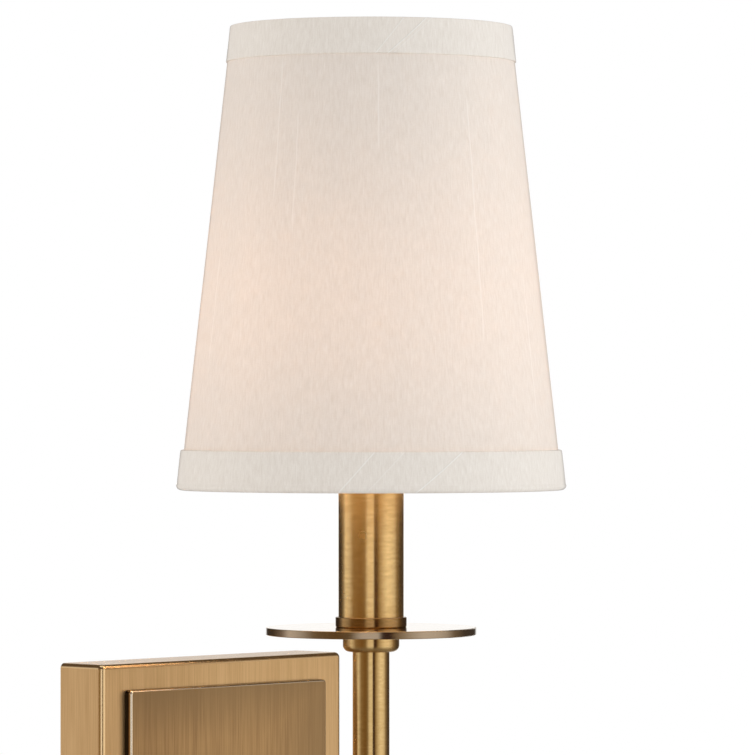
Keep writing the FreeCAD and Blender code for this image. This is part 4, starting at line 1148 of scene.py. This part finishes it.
@dataclass
class CandelabraBulb:
    """A clear torpedo bulb with a screw cap and an arched filament. Sizes and heights in millimetres."""

    cap_foot: float = 58.0
    cap_top: float = 75.9
    cap_radius: float = 5.95
    cap_wall: float = 0.35
    thread_pitch: float = 2.54
    thread_depth: float = 0.42
    neck_radius: float = 5.55
    neck_depth: float = 11.0
    widest_radius: float = 16.0
    flare_length: float = 31.6
    glass_top: float = 151.5
    wall: float = 0.7
    stem_top: float = 95.9
    rod_radius: float = 1.8
    filament_top: float = 117.9
    filament_half_width: float = 5.0
    lead_wire: float = 0.3
    lead_steps: int = 16
    coil_wire: float = 0.2
    coil_radius: float = 0.35
    coil_turns: int = 74
    steps_each_turn: int = 10
    glass: ClearGlass = ClearGlass("bulb_glass")
    mount: ClearGlass = ClearGlass("mount_glass", (0.9, 0.94, 0.93), 0.05)
    nickel: PlainMetal = PlainMetal("lamp_metal_cap", (0.68, 0.63, 0.52), 0.3)
    solder: PlainMetal = PlainMetal("solder", (0.5, 0.5, 0.52), 0.45)
    ring: Moulded = Moulded("black_glass", (0.012, 0.012, 0.015), 0.15, 0.004 * MM)
    hot: Glowing = Glowing("filament", (1.0, 0.55, 0.2), 14.0)

    def radius_at(self, height: float, wall: float = 0.0) -> float:
        """How wide the glass is.

        Args:
            height: The height to look at.
            wall: The glass's thickness for its inner face, or 0 for its outer face.

        Returns:
            The radius there.
        """
        neck = self.neck_radius - wall
        widest = self.widest_radius - wall
        if height <= self.cap_top:
            return neck
        widest_at = self.cap_top + self.flare_length
        if height <= widest_at:
            share = (height - self.cap_top) / self.flare_length
            return neck + (widest - neck) * (1.0 - math.cos(math.pi * share)) / 2.0
        share = min((height - widest_at) / (self.glass_top - wall - widest_at), 1.0)
        return widest * (1.0 - share**1.8) ** 0.62

    def envelope(self) -> bpy.types.Object:
        """The hollow glass, open at its neck."""
        outer = self.side(0.0)
        inner = self.side(self.wall)
        return turned("glass_envelope", STEM, outer + inner[::-1], segments=96, crease=60.0)

    def side(self, wall: float) -> list[Point]:
        """One face of the glass from the neck's foot to the crown.

        Args:
            wall: The glass's thickness for its inner face, or 0 for its outer face.

        Returns:
            The face's section.
        """
        foot = self.cap_top - self.neck_depth
        widest_at = self.cap_top + self.flare_length
        heights = list(np.linspace(foot, self.cap_top, 4))
        heights += list(np.linspace(self.cap_top, widest_at, 22))[1:]
        crown = np.sin(np.linspace(0.0, math.pi / 2.0, 30))[1:]
        heights += list(widest_at + (self.glass_top - wall - widest_at) * crown)
        return [(max(self.radius_at(h, wall), 0.0), h) for h in heights]

    def cap(self) -> bpy.types.Object:
        """The screw cap.

        Returns:
            The hollow cap, with its thread.
        """
        rows = np.linspace(self.cap_foot + 1.2, self.cap_top, 90)
        inner = self.cap_radius - self.cap_wall - self.thread_depth
        profile = [(inner - 1.0, self.cap_foot), (self.cap_radius - 0.5, self.cap_foot)]
        profile += [(self.cap_radius, float(h)) for h in rows]
        profile += [(inner + self.thread_depth, self.cap_top), (inner, self.cap_top - 1.0)]
        profile += [(inner, self.cap_foot + 1.6), (inner - 1.0, self.cap_foot + 0.5)]

        def thread(r: np.ndarray, h: np.ndarray, turn: np.ndarray) -> np.ndarray:
            """Rounded turns between the cap's foot and its plain rim.

            Args:
                r: Distances from the axis.
                h: Heights.
                turn: Angles round the axis.

            Returns:
                What to add to the distances.
            """
            phase = 2.0 * math.pi * h / self.thread_pitch - turn
            reach = np.clip((h - self.cap_foot - 1.2) / 1.6, 0.0, 1.0)
            reach *= np.clip((self.cap_top - 3.2 - h) / 1.6, 0.0, 1.0)
            outside = (r > self.cap_radius - 0.1).astype(float)
            return -self.thread_depth * outside * reach * (0.5 - 0.5 * np.cos(phase))

        return turned("screw_cap", STEM, profile, segments=72, shift=thread, crease=50.0)

    def glass_stem(self) -> bpy.types.Object:
        """The flare that seals the neck, and the rod that carries the filament.

        Returns:
            Both as one turned piece.
        """
        foot = self.cap_top - self.neck_depth
        flare = self.neck_radius - self.wall
        profile = [(0.0, foot), (flare - 0.1, foot), (flare, foot + 0.3), (flare, foot + 1.2)]
        for share in np.linspace(0.0, 1.0, 12)[1:]:
            profile.append((flare + (self.rod_radius - flare) * share**0.55, foot + 1.2 + 7.0 * share))
        profile += [(self.rod_radius, self.stem_top - 4.5), (self.rod_radius * 1.3, self.stem_top - 3.0)]
        profile += [(self.rod_radius * 1.25, self.stem_top - 1.0), (self.rod_radius * 0.7, self.stem_top)]
        profile += [(0.0, self.stem_top)]
        return turned("glass_mount", STEM, profile, segments=48, crease=60.0)

    def arch(self, count: int) -> np.ndarray:
        """The line of the filament's arch between its lead wires.

        Args:
            count: How many points it has.

        Returns:
            Each point's way to the side and height.
        """
        turn = np.linspace(0.0, math.pi, count)
        shoulder = self.stem_top + (self.filament_top - self.stem_top) * 0.55
        sideways = -self.filament_half_width * np.cos(turn)
        height = shoulder + (self.filament_top - 0.6 - shoulder) * np.sin(turn)
        return np.stack([sideways, height], axis=1)

    def filament(self) -> bpy.types.Object:
        """The filament.

        Returns:
            The coil and the two wires that hold it.
        """
        count = self.coil_turns * self.steps_each_turn
        line = self.arch(count)
        steps = np.gradient(line, axis=0)
        steps /= np.linalg.norm(steps, axis=1)[:, None]
        phase = np.linspace(0.0, 2.0 * math.pi * self.coil_turns, count)
        out = self.coil_radius * np.cos(phase)
        sideways = line[:, 0] - steps[:, 1] * out
        height = line[:, 1] + steps[:, 0] * out
        depth = self.coil_radius * np.sin(phase)
        base = np.array(STEM_AXIS)
        coil = base + np.stack([sideways, depth, height], axis=1) * MM
        parts = [swept("coil_part", coil, self.coil_wire, sides=5)]
        share = np.linspace(0.0, 1.0, self.lead_steps)[:, None]
        rest = 1.0 - share
        for side in (-1.0, 1.0):
            start = np.array((side * 0.8, self.stem_top - 6.0))
            knee = np.array((side * 1.0, self.stem_top + 1.5))
            end = np.array((side * self.filament_half_width, line[0, 1] + 0.3))
            bent = rest**2 * start + 2.0 * share * rest * knee + share**2 * end
            wire = base + np.stack([bent[:, 0], np.zeros(self.lead_steps), bent[:, 1]], axis=1) * MM
            parts.append(swept("lead_part", wire, self.lead_wire, sides=8))
        return merged("coiled_filament", parts)

    def build(self) -> None:
        """Makes the bulb's pieces and dresses its contact."""
        stand_for(self.envelope(), "bulb", self.glass.material(), ["bulb_glass"])
        stand_for(self.cap(), "bulb", self.nickel.material(), ["bulb_cap"])
        stand_for(self.glass_stem(), "bulb", self.mount.material(), ["bulb_stem"])
        stand_for(self.filament(), "bulb", self.hot.material(), ["bulb_filament"])
        dress(["bulb_contact"], self.solder.material())
        dress(["bulb_insulator"], self.ring.material())


@dataclass
class ShadeFrame:
    """The wire frame that the cloth is stretched on."""

    enamel: Moulded = Moulded("shade_wire", (0.74, 0.72, 0.67), 0.35, 0.006 * MM)
    NODES = ("shade_top_ring", "shade_bottom_ring", "shade_spokes", "clip_collar", "bulb_clip")

    def build(self) -> None:
        """Dresses the wires."""
        dress(self.NODES, self.enamel.material())


@dataclass
class ClothShade:
    """The shade's cloth and lining, and the bias tape that binds its two edges. Sizes in millimetres."""

    cloth_thickness: float = 0.6
    lining_thickness: float = 0.4
    tape_thickness: float = 0.45
    seam_lap: float = 8.0
    seam_step: float = 0.3
    seam_turn: float = math.pi / 2.0 - FACING
    top_band: float = 12.2
    bottom_band: float = 13.6
    hem_rise: float = 1.2
    ring_wire: float = 2.4
    rim_rounding: float = 0.45
    hem_rounding: float = 1.6
    rows: int = 64
    columns: int = 360
    band_columns: int = 720
    cloth: ShadeCloth = ShadeCloth(
        "shade_cloth",
        (0.94, 0.9, 0.85),
        0.2,
        slubs=(
            Slub(-36.5, 142.0, 192.0, 1.0),
            Slub(-28.0, 128.0, 176.0, 0.6),
            Slub(2.8, 158.0, 192.0, 0.7),
            Slub(39.0, 94.0, 178.0, 1.1),
            Slub(63.0, 70.0, 120.0, 0.7),
            Slub(-64.0, 84.0, 132.0, 0.7),
            Slub(112.0, 90.0, 165.0, 1.0),
            Slub(168.0, 75.0, 150.0, 0.9),
            Slub(-121.0, 110.0, 186.0, 1.0),
        ),
    )
    lining: ShadeCloth = ShadeCloth(
        "shade_lining", (0.84, 0.82, 0.78), 0.3, weave_depth=0.004 * MM, through_tint=(0.8, 0.72, 0.64)
    )
    tape: ShadeCloth = ShadeCloth(
        "binding_tape",
        (0.9, 0.84, 0.77),
        0.0,
        weave_pitch=0.36 * MM,
        weave_depth=0.022 * MM,
        joins=(
            Join(6.4, 22.4, 191.4, 203.4, 1.0),
            Join(1.6, 13.1, 191.4, 203.4, 0.7),
            Join(8.4, 24.8, 191.4, 203.4, 0.35),
            Join(12.8, 27.6, 46.6, 60.0, 1.0),
            Join(-9.5, 0.9, 46.6, 60.0, 0.7),
            Join(-1.5, 9.6, 46.6, 60.0, 0.3),
        ),
    )

    def layer(self, name: str, depth: float, thickness: float, lapped: bool) -> bpy.types.Object:
        """One layer of the cone.

        Args:
            name: The piece's name.
            depth: How far its outer face lies inside the cloth's.
            thickness: The layer's thickness.
            lapped: Whether its outer face shows the step of the overlapped edge.

        Returns:
            The closed sheet, with the cloth's lengths in its UV map.
        """
        foot = ShadeForm.RISE + self.tape_thickness
        top = ShadeForm.RISE + ShadeForm.HEIGHT - self.tape_thickness
        heights = np.linspace(foot, top, self.rows)
        outer = [(ShadeForm.radius(h) - depth, float(h)) for h in heights]
        inner = [(ShadeForm.radius(h) - depth - thickness, float(h)) for h in heights[::-1]]
        halfway = [ShadeForm.radius(h) - 0.5 * self.cloth_thickness for h in heights]

        def lie(r: np.ndarray, h: np.ndarray, turn: np.ndarray) -> np.ndarray:
            """Slight waves where the cloth spans between the rings, and the step of its overlap.

            Args:
                r: Distances from the axis.
                h: Heights.
                turn: Angles round the axis.

            Returns:
                What to add to the distances.
            """
            middle = np.sin(math.pi * np.clip((h - foot - 14.0) / (top - foot - 28.0), 0.0, 1.0))
            waves = 0.05 * np.sin(7.0 * turn + 1.3) + 0.04 * np.sin(13.0 * turn + 0.04 * h + 0.4)
            waves += 0.03 * np.sin(23.0 * turn - 0.03 * h)
            outside = r > np.interp(h, heights, halfway)
            return waves * middle + (self.overlap(turn) * outside if lapped else 0.0)

        piece = turned(name, STEM, outer + inner, segments=self.columns, shift=lie, crease=40.0)
        self.lay_out(piece)
        return piece

    def overlap(self, turn: np.ndarray) -> np.ndarray:
        """How far the overlap at the wall side lifts what lies over it.

        Args:
            turn: Angles round the stem.

        Returns:
            A clean edge, then a long soft slope.
        """
        off = (turn - self.seam_turn + math.pi) % (2.0 * math.pi) - math.pi
        along = off * ShadeForm.MIDDLE_RADIUS
        rise = np.clip(along / 0.5, 0.0, 1.0)
        fall = np.clip((2.5 * self.seam_lap - along) / (1.5 * self.seam_lap), 0.0, 1.0)
        return self.seam_step * rise * fall

    def lay_out(self, piece: bpy.types.Object) -> None:
        """Writes each corner's place on the flat cloth, in metres, to the piece's UV map.

        Args:
            piece: The sheet, bent round the stem.
        """
        mesh = piece.data
        place = mesh.uv_layers.new(name="Cloth")
        local = np.array([vertex.co for vertex in mesh.vertices]) - np.array(STEM_AXIS)
        second = STEM.along.cross(STEM.first)
        turn = np.arctan2(local @ np.array(second), local @ np.array(STEM.first))
        corner_count = len(mesh.loops)
        index = np.zeros(corner_count, np.int64)
        mesh.loops.foreach_get("vertex_index", index)
        across = turn[index]
        starts = np.array([face.loop_start for face in mesh.polygons])
        totals = np.array([face.loop_total for face in mesh.polygons])
        owner = np.repeat(np.arange(len(starts)), totals)
        high = np.maximum.reduceat(across, starts)[owner]
        across = np.where((high - across) > math.pi, across + 2.0 * math.pi, across)
        flat = np.stack([across * ShadeForm.MIDDLE_RADIUS * MM, local[index, 2]], axis=1)
        place.data.foreach_set("uv", flat.astype(np.float32).ravel())

    def binding(self, name: str, upper: bool) -> bpy.types.Object:
        """A bound edge: the tape lies over the cloth, turns round the rim and ends inside past the wire.

        Args:
            name: The piece's name.
            upper: True for the top edge.

        Returns:
            The closed tape.
        """
        tape = self.tape_thickness
        rise = tape if upper else self.hem_rise
        height = self.top_band if upper else self.bottom_band
        edge = ShadeForm.RISE + ShadeForm.HEIGHT if upper else ShadeForm.RISE
        way = 1.0 if upper else -1.0
        inner_edge = edge - way * height
        rim = edge - way * tape
        wall = self.cloth_thickness + self.lining_thickness
        wire = self.ring_wire
        ring_height = rim - way * wire / 2.0
        wire_top = rim if upper else rim + wire
        lap = ShadeForm.radius(wire_top) - wall - wire
        end = ring_height - way * wire / 2.0
        corner = self.rim_rounding if upper else self.hem_rounding

        cone = ShadeForm.radius(inner_edge)
        profile = [(cone - 0.02, inner_edge), (cone + rise * 0.55, inner_edge)]
        profile += [(cone + rise * 0.9, inner_edge + way * 0.12), (cone + rise, inner_edge + way * 0.4)]
        for h in np.linspace(inner_edge + way * 1.2, edge - way * (corner + 0.3), 16):
            profile.append((ShadeForm.radius(h) + rise, float(h)))
        centre = ShadeForm.radius(edge) + rise - corner
        for turn in np.radians(np.linspace(0.0, 90.0, 7)):
            profile.append((centre + corner * math.cos(turn), edge - way * corner * (1.0 - math.sin(turn))))
        fold = lap - tape
        profile += [(fold + 0.4, edge), (fold + 0.12, edge - way * 0.12), (fold, edge - way * 0.4)]
        profile += [(fold, end), (lap, end), (lap, rim), (ShadeForm.radius(rim), rim)]
        if not upper:
            profile = profile[::-1]

        outside = ShadeForm.radius(edge) - (3.0 if upper else 4.0)

        def lie(r: np.ndarray, h: np.ndarray, turn: np.ndarray) -> np.ndarray:
            """The tape's slight looseness over the cloth and its overlap.

            Args:
                r: Distances from the axis.
                h: Heights.
                turn: Angles round the axis.

            Returns:
                What to add to the distances.
            """
            waves = 0.05 * np.sin(9.0 * turn + 0.7) + 0.04 * np.sin(21.0 * turn + 0.25 * h)
            return (waves + self.overlap(turn)) * (r > outside)

        piece = turned(name, STEM, profile, segments=self.band_columns, shift=lie, crease=50.0)
        self.lay_out(piece)
        return piece

    def build(self) -> None:
        """Makes the four layers, gives them their finishes and hides the solids that they stand for."""
        cloth = self.layer("shade_cloth", 0.0, self.cloth_thickness, True)
        lining = self.layer("shade_lining", self.cloth_thickness, self.lining_thickness, False)
        top = self.binding("top_binding", True)
        bottom = self.binding("bottom_binding", False)
        stand_for(cloth, "shade", self.cloth.material(), ["shade_fabric"])
        stand_for(lining, "shade", self.lining.material(), ["shade_liner"])
        tape = self.tape.material()
        stand_for(top, "shade", tape, ["top_trim"])
        stand_for(bottom, "shade", tape, ["bottom_trim"])


# Studio
CAMERA_RIGHT = Vector((math.cos(CAMERA_YAW), -math.sin(CAMERA_YAW), 0.0))


@dataclass(frozen=True)
class SoftBox:
    """A square soft light. Its place is metres from its target, as the camera sees it."""

    name: str
    aside: float
    nearer: float
    up: float
    power: float
    colour: Colour
    size: float = 1.3

    def build(self, target: Vector) -> None:
        """Hangs the light so that it faces the target and doesn't show in the metal.

        Args:
            target: The point that it faces and that its place is counted from.
        """
        nearer = Vector((-math.sin(CAMERA_YAW), -math.cos(CAMERA_YAW), 0.0))
        place = target + CAMERA_RIGHT * self.aside + nearer * self.nearer + Vector((0.0, 0.0, self.up))
        data = bpy.data.lights.new(self.name, "AREA")
        data.shape = "SQUARE"
        data.size = self.size
        data.energy = self.power
        data.color = self.colour
        light = bpy.data.objects.new(self.name, data)
        light.location = place
        light.rotation_mode = "QUATERNION"
        light.rotation_quaternion = (target - place).to_track_quat("-Z", "Y")
        light.visible_glossy = False
        light.visible_camera = False
        bpy.context.scene.collection.objects.link(light)


@dataclass
class Studio:
    """The camera, the soft lights, the pale floor and what the brass reflects."""

    camera_place: Place = (-1.2915, -1.2674, 0.1933)
    camera_lens: float = 245.93
    camera_pitch: float = -0.0033
    floor_height: float = -0.42
    floor_radius: float = 3.2
    floor_sides: int = 96
    world_level: float = 0.6
    key: SoftBox = SoftBox("key", 1.6, 0.7, 0.4, 15.1, (0.915, 0.958, 1.0))
    fill: SoftBox = SoftBox("fill", -1.6, 0.5, 0.3, 9.7, (1.0, 0.99, 0.98))
    aimed_above: float = 0.08
    bulb_power: float = 0.175
    bulb_colour: Colour = (1.0, 0.72, 0.5)
    bulb_radius: float = 0.014
    bulb_height: float = 0.222
    bulb_aside: float = 0.006

    # What polished metal sees level round the studio, at degrees from the side that faces the camera.
    SURROUNDINGS = (
        (-180.0, grey(1.0)),
        (-169.0, grey(1.0)),
        (-160.0, (0.05, 0.035, 0.025)),
        (-132.0, (0.07, 0.055, 0.04)),
        (-116.0, (0.33, 0.29, 0.25)),
        (-102.0, (1.12, 1.08, 1.04)),
        (-84.0, (0.84, 0.82, 0.8)),
        (-66.0, (0.34, 0.25, 0.15)),
        (-38.0, (0.23, 0.13, 0.04)),
        (-23.0, (0.27, 0.2, 0.11)),
        (-10.0, (1.1, 1.08, 1.06)),
        (8.0, (1.15, 1.14, 1.12)),
        (12.0, (0.03, 0.0, 0.0)),
        (21.5, (0.03, 0.0, 0.0)),
        (29.0, (0.42, 0.34, 0.22)),
        (46.0, (0.95, 0.91, 0.85)),
        (60.0, (1.25, 1.23, 1.2)),
        (78.0, (1.15, 1.12, 1.08)),
        (92.0, (0.86, 0.82, 0.77)),
        (104.0, (0.35, 0.28, 0.2)),
        (124.0, (0.11, 0.085, 0.065)),
        (160.0, (0.06, 0.045, 0.035)),
        (169.0, grey(1.0)),
        (180.0, grey(1.0)),
    )

    # What it sees higher up, straight above and below.
    ALOFT = (0.1, 0.07, 0.045)
    OVERHEAD = grey(0.95)
    BELOW = (0.24, 0.2, 0.16)
    WHITE = grey(1.0)

    def build(self) -> None:
        """Sets up everything that isn't part of the light."""
        self.camera()
        self.world()
        self.floor()
        self.lamps()
        bpy.context.scene.view_settings.view_transform = "Standard"

    def camera(self) -> None:
        """The camera at the photograph's place and angle."""
        data = bpy.data.cameras.new("camera")
        data.lens = self.camera_lens
        data.sensor_width = 36.0
        data.clip_start = 0.05
        data.clip_end = 60.0
        camera = bpy.data.objects.new("camera", data)
        bpy.context.scene.collection.objects.link(camera)
        level = math.cos(self.camera_pitch)
        ahead = Vector(
            (math.sin(CAMERA_YAW) * level, math.cos(CAMERA_YAW) * level, -math.sin(self.camera_pitch))
        )
        turn = Matrix((CAMERA_RIGHT, CAMERA_RIGHT.cross(ahead), -ahead)).transposed()
        camera.matrix_world = Matrix.Translation(self.camera_place) @ turn.to_4x4()
        bpy.context.scene.camera = camera

    def world(self) -> None:
        """Plain light for matt surfaces, a studio's light and dark sides for metal, and white behind."""
        world = bpy.data.worlds.new("studio")
        bpy.context.scene.world = world
        shader = Shader(world)
        x, y, z = shader.parts_of(shader.node("TexCoord").outputs["Generated"])
        turn = shader.math("ARCTAN2", y, x)
        start = math.degrees(FACING) - 180.0
        share = shader.math("DIVIDE", shader.minus(turn, math.radians(start)), 2.0 * math.pi)
        stops = [((angle + 180.0) / 360.0, colour) for angle, colour in self.SURROUNDINGS]
        around = shader.ramp(shader.math("FRACT", share), stops)
        around = shader.blended(shader.span(z, 0.3, 0.6, 0.0, 1.0), around, self.ALOFT)
        around = shader.blended(shader.span(z, 0.86, 0.96, 0.0, 1.0), around, self.OVERHEAD)
        around = shader.blended(shader.span(z, -0.65, -0.3, 1.0, 0.0), around, self.BELOW)
        path = shader.node("LightPath").outputs
        matt = shader.node("Background", {0: self.WHITE, 1: self.world_level}).outputs[0]
        metal = shader.node("Background", {0: around, 1: 1.0}).outputs[0]
        behind = shader.node("Background", {0: self.WHITE, 1: 1.0}).outputs[0]
        seen = shader.math("MAXIMUM", path["Is Camera Ray"], path["Is Transmission Ray"])
        lit = shader.mixed(path["Is Glossy Ray"], matt, metal)
        shader.node("OutputWorld", {"Surface": shader.mixed(seen, lit, behind)})

    def floor(self) -> None:
        """A round pale floor that fades into the white behind it."""
        turn = np.linspace(0.0, 2.0 * math.pi, self.floor_sides, endpoint=False)
        level = np.full(self.floor_sides, self.floor_height)
        rim = np.stack([self.floor_radius * np.cos(turn), self.floor_radius * np.sin(turn), level], axis=1)
        piece = new_piece("floor", rim, [tuple(range(self.floor_sides))])
        shader = Shader.named("pale_floor")
        place = shader.place()
        away = shader.vector("LENGTH", shader.stretched(place, (1.0, 1.0, 0.0))).outputs["Value"]
        colour = shader.blended(shader.noise(place, 30.0, 3.0), grey(0.84), grey(0.87))
        matt = shader.node("BsdfDiffuse", {0: colour}).outputs[0]
        white = shader.node("Emission", {0: self.WHITE, 1: 1.0}).outputs[0]
        path = shader.node("LightPath").outputs
        seen = shader.math("MAXIMUM", path["Is Camera Ray"], path["Is Glossy Ray"])
        seen = shader.math("MAXIMUM", seen, path["Is Transmission Ray"])
        faded = shader.times(seen, shader.span(away, 0.5, 1.6, 0.0, 1.0))
        piece.data.materials.append(shader.done(shader.mixed(faded, matt, white)))
        piece.visible_glossy = False

    def lamps(self) -> None:
        """A broad key from the right, a fill from the left and the bulb's own light."""
        target = Vector(STEM_AXIS) + Vector((0.0, 0.0, self.aimed_above))
        self.key.build(target)
        self.fill.build(target)
        data = bpy.data.lights.new("bulb_light", "POINT")
        data.energy = self.bulb_power
        data.color = self.bulb_colour
        data.shadow_soft_size = self.bulb_radius
        light = bpy.data.objects.new("bulb_light", data)
        above_stem = Vector((STEM_AXIS.x, STEM_AXIS.y, self.bulb_height))
        light.location = above_stem - CAMERA_RIGHT * self.bulb_aside
        light.visible_glossy = False
        bpy.context.scene.collection.objects.link(light)


def main() -> None:
    """Builds the light's sub-assemblies and the studio in order."""
    logging.basicConfig(level=logging.INFO, format="%(name)s: %(message)s")
    for part in (Studio, BrassWork, HiddenFixings, Lampholder, CandelabraBulb, ShadeFrame, ClothShade):
        LOG.info("building %s", part.__name__)
        part().build()


if __name__ == "__main__":
    main()
